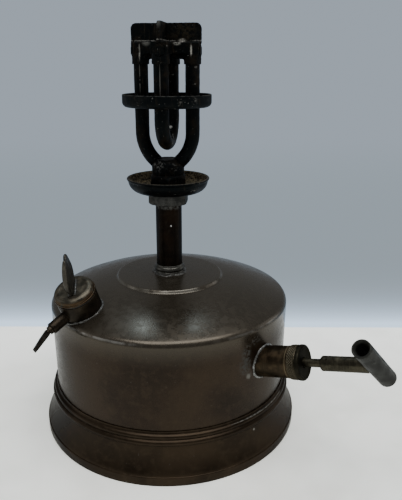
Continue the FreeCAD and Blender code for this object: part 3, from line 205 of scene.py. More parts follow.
def arc(centre, radius, start, end, steps):
    """Points on a circle of an outline, angles in degrees from +radius towards +height."""
    angles = (radians(start + (end - start) * step / steps) for step in range(steps + 1))
    return [(centre[0] + radius * cos(angle), centre[1] + radius * sin(angle)) for angle in angles]


def divided(outline, longest):
    """The closed outline with its long edges divided."""
    result = []
    for index, here in enumerate(outline):
        here = Vector(here)
        ahead = Vector(outline[(index + 1) % len(outline)])
        parts = max(1, ceil((ahead - here).length / longest))
        result += [here.lerp(ahead, part / parts) for part in range(parts)]
    return result


def skin(mesh, rows, rings=True, closed=False):
    """Faces between rows of as many points, which may be rings; closed joins the last row to the first."""
    count = len(rows[0])
    for first, second in zip(rows, rows[1:] + rows[:closed]):
        for step in range(count if rings else count - 1):
            after = (step + 1) % count
            corners = dict.fromkeys((first[step], first[after], second[after], second[step]))
            if len(corners) > 2:
                mesh.faces.new(list(corners))


def turn(outline, segments, matrix=WORLD, shape=None, mesh=None):
    """A closed outline turned about Z: a ring, or a solid where it touches the axis.

    shape moves each point, given with its angle, before the matrix does.
    """
    mesh = mesh or bmesh.new()
    rings = []
    for radius, height in outline:
        if radius < 1e-6:
            rings.append([mesh.verts.new(matrix @ Vector((0, 0, height)))] * segments)
            continue
        ring = []
        for index in range(segments):
            angle = tau * index / segments
            point = polar(radius, angle, height)
            if shape:
                point = shape(point, angle)
            ring.append(mesh.verts.new(matrix @ point))
        rings.append(ring)
    skin(mesh, rings, closed=True)
    return mesh


def uneven(size, seed, depth, inwards=0.0):
    """A shape for turn: noise of a size that moves points out and in, or only inwards where that is 1."""
    return lambda point, _: point + outward(point) * depth * (wobble(point, size, seed) - inwards)


def sweep(path, radius, sides=28, rough=0.0, seed=0.0):
    """A round bar along a path, with closed ends; radius is one number or a list with one for each point."""
    mesh = bmesh.new()
    across = Vector((0.31, 0.87, 0.38))
    rings = []
    for index, point in enumerate(path):
        ahead = path[min(index + 1, len(path) - 1)] - path[max(index - 1, 0)]
        ahead.normalize()
        across = (across - ahead * across.dot(ahead)).normalized()
        side = ahead.cross(across)
        size = radius[index] if isinstance(radius, list) else radius
        ring = []
        for step in range(sides):
            angle = tau * step / sides
            out = across * cos(angle) + side * sin(angle)
            place = point + out * size
            ring.append(mesh.verts.new(place + out * rough * wobble(place, 2.2, seed)))
        rings.append(ring)
    skin(mesh, rings)
    mesh.faces.new(rings[0])
    mesh.faces.new(rings[-1])
    return mesh


def softened(name, node, look, voxel, smooth, rough, grain=1.6, data=None, body="stove"):
    """A node's form, or the given mesh, with its edges worn round and its faces slightly sunk."""
    piece = in_scene(name, data or NODES[node].data.copy())
    remesh = piece.modifiers.new("even_mesh", "REMESH")
    remesh.mode = "VOXEL"
    remesh.voxel_size = voxel * MM
    remesh.use_smooth_shade = True
    wear = piece.modifiers.new("wear", "SMOOTH")
    wear.factor = 0.5
    wear.iterations = smooth
    apply_modifiers(piece)
    normals = [vert.normal.copy() for vert in piece.data.vertices]
    for vert, normal in zip(piece.data.vertices, normals):
        place = vert.co / MM
        lump = wobble(place, grain, 3.1) + 0.5 * wobble(place, grain / 2.5, 7.7)
        vert.co += normal * (min(lump, 1.0) - 1.0) * rough * MM
    dress(piece, look, [node], body)


def apply_modifiers(piece):
    """Keep the mesh that a piece's modifiers give."""
    bpy.context.view_layer.update()
    graph = bpy.context.evaluated_depsgraph_get()
    data = bpy.data.meshes.new_from_object(piece.evaluated_get(graph))
    piece.modifiers.clear()
    piece.data = data


# ---- materials


class Look:
    """A material whose nodes are written as short calls. Coordinates are the object's own, in metres."""

    def __init__(self, name):
        self.material = bpy.data.materials.new(name)
        self.material.use_nodes = True
        self.tree = self.material.node_tree
        self.shader = self.tree.nodes["Principled BSDF"]
        self.coords = self.add("TexCoord", "Object")
        self.colour = None

    def feed(self, socket, value):
        """Give an input a number, a colour or another node's output."""
        if isinstance(value, bpy.types.NodeSocket):
            self.tree.links.new(value, socket)
        elif isinstance(value, tuple) and len(value) == 3 and socket.type == "RGBA":
            socket.default_value = (*value, 1.0)
        else:
            socket.default_value = value

    def add(self, kind, output, inputs=(), **settings):
        """One output of a new shader node, with its inputs given by name or place."""
        node = self.tree.nodes.new("ShaderNode" + kind)
        for name, value in settings.items():
            setattr(node, name, value)
        for name, value in dict(inputs).items():
            self.feed(node.inputs[name], value)
        return node.outputs[output]

    def math(self, operation, first, second=0.0):
        """One number from two."""
        return self.add("Math", 0, {0: first, 1: second}, operation=operation)

    def times(self, first, second):
        """The product of two numbers."""
        return self.math("MULTIPLY", first, second)

    def measure(self, operation, first, second=(0, 0, 0)):
        """One number from two vectors."""
        return self.add("VectorMath", "Value", {0: first, 1: second}, operation=operation)

    def stretched(self, x, y, z):
        """The coordinates scaled differently along each axis."""
        return self.add("Mapping", 0, {"Vector": self.coords, "Scale": (x, y, z)})

    def noise(self, size, detail, roughness, vector=None, distortion=0.0):
        """Noise whose features are about a size in millimetres across."""
        vector = vector or self.coords
        return self.add("TexNoise", "Fac", {"Vector": vector, "Scale": 1000.0 / size, "Detail": detail,
                                            "Roughness": roughness, "Distortion": distortion})

    def span(self, value, low, high):
        """0 at low, 1 at high, smooth between."""
        ends = {"Value": value, "From Min": low, "From Max": high}
        return self.add("MapRange", "Result", ends, interpolation_type="SMOOTHSTEP")

    def mix(self, share, first, second):
        """Two colours mixed."""
        return self.add("Mix", 2, {0: share, 6: first, 7: second}, data_type="RGBA")

    def blend(self, share, first, second):
        """Two numbers mixed."""
        return self.add("Mix", 0, {0: share, 2: first, 3: second})

    def cover(self, tint, mask, share):
        """Lay a tint over the colour where a mask says, by a share at most."""
        self.colour = self.mix(self.times(mask, share), self.colour, tint)

    def lay(self, tint, value, low, high, share):
        """Lay a tint over the colour where a value rises from low to high, by a share at most."""
        self.cover(tint, self.span(value, low, high), share)

    def edges(self, radius, low, high):
        """A mask of worn edges: where the surface turns within a radius in millimetres. On soot their grey is
        partly a painted edge highlight.
        """
        softer = self.add("Bevel", 0, {"Radius": radius * MM}, samples=6)
        alike = self.measure("DOT_PRODUCT", softer, self.add("NewGeometry", "Normal"))
        return self.span(self.math("SUBTRACT", 1.0, alike), low, high)

    def near(self, place, reach, tall):
        """A mask round a place in millimetres, fading to 0 at its reach, and some times longer in Z."""
        middle = (place[0] * MM, place[1] * MM, place[2] * MM / tall)
        distance = self.measure("DISTANCE", self.stretched(1, 1, 1 / tall), middle)
        return self.span(distance, reach * MM, reach * 0.3 * MM)

    def crust(self, deposits):
        """Lay deposits, each (place, reach, tint, threshold[, tall]), on the colour; gives their mask."""
        mask = 0.0
        if deposits:
            speckle = self.noise(1.6, 4.0, 0.6)
        for place, reach, tint, threshold, *tall in deposits:
            thick = self.span(speckle, threshold, threshold + 0.14)
            local = self.times(self.near(place, reach, *(tall or [1.0])), thick)
            self.colour = self.mix(local, self.colour, tint)
            mask = self.math("MAXIMUM", mask, local)
        return mask

    def along(self, direction, offset=0.0):
        """How far a point lies along a direction, in metres, plus an offset."""
        return self.math("ADD", self.measure("DOT_PRODUCT", self.coords, direction), offset)

    def ring(self, radius, width):
        """A mask of the points at a distance in millimetres from the world's Z axis."""
        distance = self.measure("LENGTH", self.stretched(1, 1, 0))
        off = self.math("ABSOLUTE", self.math("SUBTRACT", distance, radius * MM))
        return self.span(off, width * MM, width * 0.3 * MM)

    def height(self):
        """The height in metres."""
        return self.add("SeparateXYZ", "Z", {"Vector": self.coords})

    def band(self, low, high, fade):
        """A mask of the heights between low and high, in millimetres, with soft ends."""
        height = self.height()
        above = self.span(height, (low - fade) * MM, low * MM)
        return self.times(above, self.span(height, (high + fade) * MM, high * MM))

    def finish(self, roughness, metallic, bumps=(), specular=0.5, rim=1.0):
        """Set the shader; rim is the colour, or one number for grey, of glancing reflections.

        Bumps are (height, depth in millimetres, strength), laid one over another.
        """
        given = {}
        for height, depth, strength in bumps:
            bump = {"Height": height, "Distance": depth * MM, "Strength": strength}
            given["Normal"] = self.add("Bump", "Normal", bump | given)
        given |= {"Base Color": self.colour, "Roughness": roughness, "Metallic": metallic,
                  "Specular IOR Level": specular,
                  "Specular Tint": (rim, rim, rim) if isinstance(rim, float) else rim}
        for name, value in given.items():
            self.feed(self.shader.inputs[name], value)
        return self.material


def scaled(tint, factor):
    """A tint made darker or lighter."""
    return tuple(min(1.0, part * factor) for part in tint)


def patina(name, dark, mid, light, rough, cloud, fade=None, deposits=(), bands=(), worn=0.55, flow=0.0,
           metal=0.72, specular=0.6, rim=0.6, rings=()):
    """Old brass with a brown patina: clouds, mottling, rubbed spots, pits, fine spinning lines and deposits.

    fade is (low, high, tint): painted reflection, a lighter tint with height for the bright surroundings that
    the dome reflects. bands are (low, high, fade, tint), deposits between heights. rings are (radius, width,
    low, tint, heading): painted highlight lines above a height, all round or only round a heading.
    """
    look = Look(name)
    clouds = look.noise(cloud, 3, 0.5)
    mottle = look.noise(4, 5, 0.62)
    fine = look.noise(0.6, 3, 0.6)
    spun = look.noise(1.1, 3, 0.6, look.stretched(0.1, 0.1, 1.6))
    look.colour = look.mix(look.span(clouds, 0.34, 0.68), dark, mid)
    look.lay(light, mottle, 0.46, 0.74, 0.5)
    look.lay(light, spun, 0.56, 0.74, 0.22)
    # painted reflection: lighter olive on the dome, for the bright surroundings that it reflects
    if fade:
        shade = look.times(look.span(look.height(), fade[0] * MM, fade[1] * MM), 0.75)
        look.colour = look.mix(shade, look.colour, fade[2])
        rim = look.mix(shade, (rim, rim, rim), (0.95, 0.95, 0.95))
    # painted highlight: lighter lines round the tank above a height, all round or only towards a heading
    for radius, width, low, tint, heading in rings:
        patchy = look.span(look.noise(9, 3, 0.6), 0.32, 0.6)
        rubbed = look.times(look.ring(radius, width), look.span(look.height(), (low - 1) * MM, low * MM))
        if heading is not None:
            facing = look.along((cos(heading), sin(heading), 0))
            patchy = look.times(patchy, look.span(facing, 0.9 * radius * MM, 0.975 * radius * MM))
        look.cover(tint, rubbed, patchy)
    if flow:
        look.lay(light, look.noise(1.5, 3, 0.6, look.stretched(1, 1, 0.07)), 0.54, 0.7, flow)
    look.lay(scaled(dark, 0.35), look.noise(1.3, 2, 0.5), 0.7, 0.78, 0.6)
    specks = look.noise(1.7, 1, 0.4, look.stretched(1.3, 0.9, 1.1))
    look.lay((0.12, 0.115, 0.1), specks, 0.775, 0.8, 0.22)
    rubbed = look.times(look.edges(0.6, 0.03, 0.3), look.span(mottle, 0.3, 0.62))
    look.cover(scaled(light, 2.6), rubbed, worn)
    for low, high, soft_end, tint in bands:
        patchy = look.span(look.noise(1.8, 4, 0.6), 0.4, 0.62)
        look.cover(tint, look.band(low, high, soft_end), patchy)
    crust = look.crust(deposits)
    roughness = look.blend(look.span(mottle, 0.3, 0.8), rough - 0.05, rough + 0.09)
    roughness = look.math("ADD", roughness, look.times(look.math("SUBTRACT", clouds, 0.5), 0.16))
    roughness = look.blend(crust, roughness, 0.8)
    bumps = ((mottle, 0.04, 0.3), (spun, 0.012, 0.35), (fine, 0.01, 0.4), (crust, 0.15, 0.4))
    return look.finish(roughness, metal, bumps, specular, rim)


def soot(name, base=(0.0012, 0.0014, 0.0016), brown=(0.0085, 0.0058, 0.0034), rough=0.56, ash=0.4, highlight_rims=(),
         deposits=()):
    """Metal under soot and scale: brown rubbed patches, rust-coloured runs, ash, specks and pale deposits.

    Each highlight rim is (low, high, tint, threshold): a broken pale line between two heights in millimetres,
    a painted highlight along a rim or a top edge.
    """
    look = Look(name)
    patches = look.noise(7, 4, 0.62)
    grain = look.noise(0.9, 4, 0.65)
    look.colour = look.mix(look.span(patches, 0.48, 0.72), base, brown)
    runs = look.noise(1.5, 4, 0.6, look.stretched(1, 1, 0.1))
    look.lay((0.024, 0.018, 0.012), runs, 0.58, 0.72, 0.5)
    look.lay((0.045, 0.046, 0.045), look.noise(1.8, 4, 0.62), 0.6, 0.8, ash)
    look.lay((0.21, 0.205, 0.19), look.noise(0.9, 1, 0.4), 0.755, 0.785, 0.7)
    # worn edges, lightened grey: partly soot rubbed off, partly a painted highlight along the edges
    rubbed = look.times(look.edges(0.45, 0.04, 0.3), look.span(grain, 0.35, 0.62))
    look.cover((0.085, 0.083, 0.076), rubbed, 0.75)
    # painted highlight: broken pale lines along rims and top edges
    for low, high, tint, threshold in highlight_rims:
        broken = look.span(look.noise(2.6, 3, 0.6), threshold, threshold + 0.16)
        look.cover(tint, look.band(low, high, 0.15), broken)
    crust = look.crust(deposits)
    roughness = look.blend(look.span(patches, 0.3, 0.75), rough - 0.14, rough + 0.1)
    roughness = look.blend(crust, roughness, 0.88)
    bumps = ((patches, 0.22, 0.3), (grain, 0.08, 0.55), (crust, 0.3, 0.6))
    return look.finish(roughness, 0.0, bumps, 0.045, (0.75, 0.93, 1.0))


def solder(name, flux, metal, bright):
    """Dull tin-lead solder with dark flux in its hollows."""
    look = Look(name)
    lumps = look.noise(1.8, 4, 0.6)
    grain = look.noise(0.5, 3, 0.6)
    look.colour = look.mix(look.span(lumps, 0.4, 0.6), flux, metal)
    look.lay(bright, grain, 0.5, 0.72, 0.5)
    return look.finish(look.blend(lumps, 0.52, 0.36), 0.7, ((lumps, 0.3, 0.6), (grain, 0.05, 0.5)))


def turned(name, dark, mid, light, matrix, pitch=0.5, rough=0.36, worn=0.7, side=None):
    """Turned brass: fine rings round a frame's Z, tarnish in patches, bright worn edges.

    side is (height, tint): a tint in patches below a height along the frame's Z.
    """
    look = Look(name)
    # the height of a point along the axis is one row of the inverse frame
    row = matrix.inverted()[2]
    height = look.along((row[0], row[1], row[2]), row[3] * MM)
    rings = look.noise(pitch, 3, 0.55, look.add("CombineXYZ", 0, {"Z": height}))
    tarnish = look.noise(6, 4, 0.6)
    grime = look.noise(1.4, 4, 0.6)
    look.colour = look.mix(look.span(tarnish, 0.38, 0.66), dark, mid)
    look.lay(light, rings, 0.5, 0.72, 0.35)
    look.lay(scaled(dark, 0.4), grime, 0.58, 0.78, 0.6)
    if side:
        below = look.span(height, (side[0] + 0.5) * MM, (side[0] - 0.5) * MM)
        look.cover(side[1], below, look.span(tarnish, 0.3, 0.5))
    look.cover(scaled(light, 1.9), look.edges(0.45, 0.03, 0.3), worn)
    roughness = look.blend(look.span(tarnish, 0.3, 0.7), rough - 0.06, rough + 0.16)
    return look.finish(roughness, 0.85, ((rings, 0.02, 0.35), (grime, 0.04, 0.4)), 0.4, 0.5)


def plain_metal(name, base, dull, rough=0.4, size=5.0, metal=0.9, worn=0.5):
    """Plated or bare metal with dull patches, scuffs and fine grain."""
    look = Look(name)
    patches = look.noise(size, 4, 0.6)
    grain = look.noise(0.5, 4, 0.6)
    look.colour = look.mix(look.span(patches, 0.4, 0.66), base, dull)
    look.lay(scaled(base, 2.0), look.noise(1.2, 3, 0.7, look.stretched(3.0, 0.6, 1.2)), 0.66, 0.76, 0.4)
    look.cover(scaled(base, 2.4), look.edges(0.4, 0.04, 0.3), worn)
    roughness = look.blend(look.span(patches, 0.3, 0.7), rough - 0.06, rough + 0.12)
    return look.finish(roughness, metal, ((patches, 0.08, 0.3), (grain, 0.015, 0.4)), 0.3, 0.35)


def soft(name, base, spot):
    """Leather or rubber: fine grain and spots, no metal."""
    look = Look(name)
    grain = look.noise(0.45, 4, 0.65)
    look.colour = look.mix(look.span(look.noise(1.5, 4, 0.6), 0.4, 0.7), base, spot)
    return look.finish(look.blend(grain, 0.65, 0.85), 0.0, ((grain, 0.06, 0.6),))


def residue(name):
    """Burnt, crumbly deposit in the cup: tan and dark brown grains."""
    look = Look(name)
    lumps = look.noise(1.3, 5, 0.7)
    grains = look.noise(0.6, 3, 0.6)
    look.colour = look.mix(look.span(lumps, 0.4, 0.6), (0.006, 0.005, 0.004), (0.115, 0.092, 0.052))
    look.lay((0.02, 0.016, 0.01), grains, 0.5, 0.7, 0.7)
    return look.finish(0.92, 0.0, ((lumps, 0.5, 0.8), (grains, 0.2, 0.7)), 0.2)


PALE, CHALK, DUST = (0.26, 0.25, 0.225), (0.15, 0.146, 0.132), (0.06, 0.059, 0.054)
# painted reflection: the dome's lighter olive stands in for the bright walls and ceiling that it reflects
DOME_PAINTED_REFLECTION = (0.058, 0.05, 0.037)
# painted highlights: a line on the dome's step, and lines low on the shoulder at the front left and front
# right
PAINTED_HIGHLIGHT_RINGS = (
    (STEP_R - STEP_WIDTH / 2, 1, 95, (0.105, 0.097, 0.08), None),
    (79.4, 0.45, 86, (0.18, 0.172, 0.156), radians(-125)),
    (79.4, 0.45, 86, (0.1, 0.092, 0.079), radians(-50)),
)
TANK_BRASS = patina(
    "tank_patina", (0.0118, 0.0072, 0.0039), (0.0235, 0.0148, 0.008), (0.033, 0.0225, 0.013), 0.28, 34,
    fade=(72, 94, DOME_PAINTED_REFLECTION), rings=PAINTED_HIGHLIGHT_RINGS, rim=0.5, deposits=(
        ((47, -64.4, 59.1), 2.8, CHALK, 0.42),
        ((45.1, -66, 76.3), 5, DUST, 0.44, 1.2),
        ((44.7, -66.1, 67.6), 6, DUST, 0.42, 1.4),
        ((50.5, -61.8, 81), 5, DUST, 0.44, 0.8),
    ))
FOOT_BRASS = patina(
    "foot_patina", (0.014, 0.0095, 0.0055), (0.026, 0.0175, 0.0102), (0.04, 0.028, 0.017), 0.36, 26,
    deposits=(((51.3, -64.4, 21.1), 1.1, PALE, 0.3),), specular=0.4, rim=0.35)
RISER_BRASS = patina(
    "riser_patina", (0.004, 0.003, 0.0024), (0.01, 0.006, 0.0038), (0.018, 0.014, 0.0105), 0.34, 12,
    bands=((150.5, 153.5, 2.2, (0.055, 0.055, 0.052)),), flow=0.35,
    deposits=(((1.3, -8.3, 138.4), 0.75, (0.6, 0.6, 0.58), 0.2, 1.3),), metal=0.5, specular=0.12, rim=0.15)
NECK_BRASS = patina(
    "neck_patina", (0.01, 0.0078, 0.0054), (0.022, 0.0165, 0.0105), (0.04, 0.032, 0.022), 0.4, 9,
    specular=0.3, rim=0.4)
COLLAR_BRASS = patina(
    "collar_patina", (0.04, 0.038, 0.032), (0.062, 0.06, 0.053), (0.1, 0.098, 0.088), 0.32, 6)
SOOT = soot("soot")
# the head's pale line along the arms' top edge is a painted highlight
HEAD_SOOT = soot("head_soot", highlight_rims=((251.85, 252.3, (0.12, 0.117, 0.107), 0.4),), deposits=(
    ((9.4, -3.8, 252.2), 2.9, PALE, 0.28, 0.55),
    ((6.4, -6.4, 250.4), 3, CHALK, 0.34, 0.5),
    ((-12.1, -2.6, 250.9), 3.3, DUST, 0.3, 0.8),
    ((-16.2, -1.9, 246), 0.75, CHALK, 0.34, 9),
    ((14.7, -8.2, 246.5), 0.8, PALE, 0.3, 5.5),
    ((-4.6, -20.6, 261.5), 3, (0.034, 0.034, 0.032), 0.32, 1.5),
    ((12, 2, 257), 13, (0.0125, 0.01, 0.0062), 0.42),
))
TUBE_SOOT = soot("tube_soot", rough=0.5, deposits=(
    # painted highlight: a thin pale streak down the left tube, standing in for the light along it
    ((-16.5, -1.3, 230), 0.6, CHALK, 0.34, 22),
    ((17.7, -7.4, 237.1), 1, CHALK, 0.4),
))
RETURN_SOOT = soot("return_soot", rough=0.5, deposits=(
    # painted highlight: a thin pale streak down the front leg of the U-tube, standing in for the light along
    # it
    ((-4, -20.2, 228), 0.5, DUST, 0.26, 30),
    ((3, 11.4, 233.4), 2.2, CHALK, 0.52),
    ((2, 9, 200), 1.5, (0.42, 0.42, 0.4), 0.34),
    ((2.8, -1.6, 196.8), 4, CHALK, 0.46),
    ((3.3, -5.6, 192.3), 3.6, CHALK, 0.46),
))
HUB_SOOT = soot("hub_soot", deposits=(
    # painted highlight: this grey patch on the left slope stands in for the light that the slope catches
    ((-6, -8, 178.5), 6.5, (0.085, 0.086, 0.082), 0.5),
    ((3, -9, 177), 5, (0.045, 0.045, 0.042), 0.52),
    ((0.6, -10.5, 177.4), 2.2, CHALK, 0.5, 0.6),
))
DISH_SOOT = soot(
    "dish_soot", (0.0014, 0.0019, 0.0023), (0.0065, 0.0062, 0.0056), ash=0.45,
    # the pale line along the dish's rim is a painted highlight
    highlight_rims=((220.7, 221.3, (0.021, 0.0205, 0.0185), 0.38),), deposits=(
        ((7.4, -26.8, 216.7), 2.2, DUST, 0.44),
        ((16.3, -22.5, 218.1), 3, DUST, 0.48),
    ))
CUP_SOOT = soot(
    "cup_soot", (0.0006, 0.001, 0.0013), (0.0026, 0.0026, 0.0026), rough=0.42, ash=0.12,
    # the pale line along the cup's rim is a painted highlight
    highlight_rims=((168.95, 169.4, (0.03, 0.0265, 0.02), 0.4),),
    deposits=(((16.5, -19, 164.4), 1.6, CHALK, 0.48),))
NUT_BRASS = patina(
    "nut_patina", (0.013, 0.0134, 0.013), (0.034, 0.034, 0.032), (0.095, 0.094, 0.088), 0.42, 5, worn=0.9,
    specular=0.3, rim=0.3)
SOLDER = solder("old_solder", (0.03, 0.027, 0.022), (0.17, 0.172, 0.168), (0.34, 0.345, 0.34))
# foot solder: pale, partly a painted highlight along the foot's upper bead
FOOT_SOLDER_AND_HIGHLIGHT = solder("foot_solder_and_highlight", (0.03, 0.026, 0.02), (0.125, 0.119, 0.106), (0.26, 0.25, 0.225))
FILLER_SOLDER = solder("filler_solder", (0.018, 0.016, 0.012), (0.105, 0.105, 0.1), (0.25, 0.25, 0.245))
DULL_SOLDER = solder("dull_solder", (0.02, 0.018, 0.014), (0.085, 0.084, 0.078), (0.21, 0.21, 0.205))
WING_SOLDER = solder("wing_solder", (0.034, 0.032, 0.027), (0.058, 0.057, 0.052), (0.085, 0.084, 0.079))
CAP_BRASS = turned(
    "cap_brass", (0.036, 0.0325, 0.0245), (0.078, 0.068, 0.05), (0.125, 0.117, 0.097), FILLER,
    side=(17.4, (0.043, 0.027, 0.014)))
WING_BRASS = patina(
    "wing_patina", (0.018, 0.016, 0.0125), (0.04, 0.036, 0.028), (0.075, 0.069, 0.056), 0.38, 7, worn=0.8)
LEVER_BRASS = patina(
    "lever_patina", (0.008, 0.007, 0.0054), (0.018, 0.0155, 0.0115), (0.04, 0.036, 0.028), 0.38, 5,
    specular=0.3, rim=0.4)
BARREL_BRASS = turned(
    "barrel_brass", (0.02, 0.0145, 0.0085), (0.052, 0.036, 0.0205), (0.085, 0.067, 0.041), PUMP, 0.7)
KNURL_BRASS = turned(
    "knurl_brass", (0.024, 0.02, 0.0125), (0.055, 0.047, 0.031), (0.15, 0.135, 0.095), PUMP, 0.7, worn=0.9)
CAP_FACE = plain_metal("pump_cap_face", (0.019, 0.0175, 0.012), (0.009, 0.008, 0.0055), 0.42)
ROD_BRASS = turned(
    "rod_brass", (0.021, 0.0185, 0.0125), (0.056, 0.05, 0.0335), (0.11, 0.1, 0.074), PUMP, 0.6, 0.32)
HANDLE_METAL = plain_metal(
    "handle_metal", (0.022, 0.0225, 0.0195), (0.015, 0.015, 0.0128), 0.44, 6, 0.6, 0.8)
STEEL = plain_metal("steel", (0.42, 0.42, 0.43), (0.28, 0.28, 0.28))
LEATHER = soft("leather", (0.17, 0.085, 0.04), (0.1, 0.048, 0.022))
RUBBER = soft("rubber", (0.018, 0.018, 0.018), (0.03, 0.03, 0.029))
RESIDUE = residue("cup_residue")

# ---- tank and foot

DENTED = uneven(34.0, 1.3, 0.04, 1.0)


def tank():
    """Drawn sheet with wall, shoulder, dome and embossed step, pierced for pump and filler."""
    start = 90 - degrees(EDGE_SLOPE)
    end = 90 - degrees(asin((STEP_R - CROWN_R) / CROWN))
    outside = [(WALL_LOW, SHELL_BOTTOM)]
    outside += arc((SHOULDER_R, SHOULDER_Z), SHOULDER, 0, start, 12)
    outside += arc((CROWN_R, CROWN_Z), CROWN, start, end, 22)[1:-1]
    outside += rounded([(50, STEP_Z - 3), (STEP_R + 0.2, STEP_Z, 1.1), (PLATFORM_R, PLATFORM_Z, 0.9),
                        (RISER_HOLE, PLATFORM_TOP)], 6)[1:]
    outline = [Vector(point) for point in outside]
    inside = []
    for index, point in enumerate(outline):
        along = outline[min(index + 1, len(outline) - 1)] - outline[max(index - 1, 0)]
        along.normalize()
        inside.append(point + Vector((-along.y, along.x)) * SHEET)
    inside[0].y = SHELL_BOTTOM
    inside[-1].x = RISER_HOLE
    mesh = turn(divided(outline + inside[::-1], 2.8), 200, shape=DENTED)
    piece = make("tank", mesh, TANK_BRASS, ["tank_shell"])
    for name, matrix, radius, low, high in (
        ("pump_opening", PUMP, 9.75, 48.0, 108.0),
        ("filler_opening", FILLER, 9.2, -13.0, 13.0),
    ):
        drill = turn([(0, low), (radius, low), (radius, high), (0, high)], 96, matrix)
        cutter = in_scene(name, metres(name, drill))
        hole = piece.modifiers.new(name, "BOOLEAN")
        hole.object = cutter
        hole.solver = "EXACT"
        apply_modifiers(piece)
        bpy.data.objects.remove(cutter)
    piece.data.set_sharp_from_angle(angle=radians(50))


def foot():
    """Flared foot with a rolled band at its rim, two beads at its top, and a run of old solder on the upper
    bead whose pale colour is partly a painted highlight along the bead's top edge.
    """
    flare_radius, bore, bead_top = 46.0, 79.36, 32.3
    ends = Vector((87.35, 6.6)), Vector((81.9, 23.6))
    chord = ends[1] - ends[0]
    away = Vector((chord.y, -chord.x)).normalized()
    centre = (ends[0] + ends[1]) / 2 + away * sqrt(flare_radius ** 2 - chord.length ** 2 / 4)
    first, last = (degrees(atan2(end.y - centre.y, end.x - centre.x)) % 360 for end in ends)
    flare = arc(centre, flare_radius, first, last, 14)
    beads_outline = arc((81.3, 25.45), 2.0, -56, 52, 10) + arc((80.35, 29.0), 1.85, -46, 52, 10)
    beads_outline += arc((81.98, bead_top), 1.94, -124, -180, 6)
    band = [(87.9, 0.0), (88.1, 0.5), (88.1, 5.2)] + arc((87.45, 5.4), 0.65, 10, 90, 6)
    outside = band + flare + [(81.55, 23.75)] + beads_outline
    inner = [(bore, bead_top), (bore, 22.6)]
    inner += [(radius - 1.1, height - 0.4) for radius, height in flare[::-1][1:]] + [(86.7, 0.0)]
    mesh = turn(divided(outside + inner, 3.0), 200, shape=DENTED)
    piece = make("foot", mesh, FOOT_BRASS, ["foot_skirt"])
    piece.data.set_sharp_from_angle(angle=radians(55))
    # solder run on the upper bead, front right; its pale colour is partly a painted highlight along the
    # bead's top edge
    start, length, steps = -64.0, 38.0, 120
    path = [polar(81.25, radians(start + length * step / steps), 30.75) for step in range(steps + 1)]
    size = []
    for index, point in enumerate(path):
        taper = sin(pi * (index + 1) / (steps + 2)) ** 0.7
        size.append(max(0.08, (0.5 + 0.1 * wobble(point, 3.2, 4.4)) * taper))
    make("foot_bead_solder_and_highlight", sweep(path, size, 12), FOOT_SOLDER_AND_HIGHLIGHT)


def riser():
    """Riser tube, its collar and the nut under the cup."""
    outer = 8.6
    mesh = turn(divided(pipe(6.6, outer, 99.0, 155.5, 0.3), 3.0), 72)
    make("riser", mesh, RISER_BRASS, ["riser_tube"])
    hole, base, crest = outer + 0.05, 105.0, 110.4
    collar = rounded([
        (hole, base), (10.4, base), (9.6, 105.9, 0.4), (9.6, 106.8, 0.3), (10.4, 107.5, 0.35),
        (9.9, 108.9, 0.3), (9.3, 109.4, 0.3), (9.0, crest, 0.25), (hole, crest),
    ])
    make("collar", turn(collar, 96), COLLAR_BRASS, ["riser_collar"])
    nut = NODES["riser_nut"].data.copy()
    nut.transform(Matrix.Rotation(radians(9.0), 4, "Z") @ Matrix.Diagonal((1.06, 1.06, 1.0, 1.0)))
    softened("union_nut", "riser_nut", NUT_BRASS, 0.3, 4, 0.05, data=nut)


def cup():
    """Spirit cup with a rolled rim, and the burnt deposit that lies in it."""
    low, top, hole, flat, fillet, sheet = 159.8, 169.2, 6.0, 17.9, 8.0, 0.9
    outline = [(hole, low)] + arc((flat, low + fillet), fillet, -90, 0, 12)
    outline += arc((26.0, top - 0.75), 0.75, -40, 190, 10) + [(25.0, low + fillet)]
    outline += arc((flat, low + fillet), fillet - sheet, 0, -90, 12)[1:] + [(hole, low + sheet)]
    mesh = turn(divided(outline, 1.6), 128, shape=uneven(14.0, 8.8, 0.18))
    make("cup", mesh, CUP_SOOT, ["spirit_cup"])
    cup_residue(low + sheet, flat, fillet - sheet)


def cup_residue(floor, flat, fillet):
    """Burnt crumbs on the cup's floor and up its wall, thickest at the back right."""
    steps, rows, floor_rows, bend_rows, inner = 150, 29, 11, 14, 11.0
    mesh = bmesh.new()
    rings = []
    for row in range(rows):
        climb = min(1.0, max(0.0, (row - floor_rows) / bend_rows)) * radians(88)
        radius = inner + min(row, floor_rows) / floor_rows * (flat - inner) + fillet * sin(climb)
        wall = max(0, row - floor_rows - bend_rows) * 0.5
        ring = []
        for step in range(steps):
            angle = tau * step / steps
            place = polar(radius, angle, floor + fillet * (1 - cos(climb)) + wall)
            inward = polar(-sin(climb), angle, cos(climb))
            side = 0.6 + 0.4 * cos(angle - radians(60))
            lump = 0.7 + wobble(place, 3.0, 2.0) * 0.8 + wobble(place, 1.1, 5.0) * 0.7
            edge = min(1.0, (rows - 1 - row) / 5.0)
            ring.append(mesh.verts.new(place + inward * (max(0.0, lump) * side * edge - 0.06)))
        rings.append(ring)
    skin(mesh, rings)
    under = bmesh.ops.extrude_face_region(mesh, geom=mesh.faces[:])
    for vert in (item for item in under["geom"] if isinstance(item, bmesh.types.BMVert)):
        vert.co.z -= 0.3
    make("cup_residue", mesh, RESIDUE)


# ---- burner

TUBE_R, TUBE_CIRCLE, TUBE_TOP = 4.42, 16.15, 243.0
BEND_R, BEND_Z, RETURN_Z = 24.4, 197.8, 207.3
HUB_APEX = 182.7
HUB_LOW, HUB_TOP = 161.5, 181.2


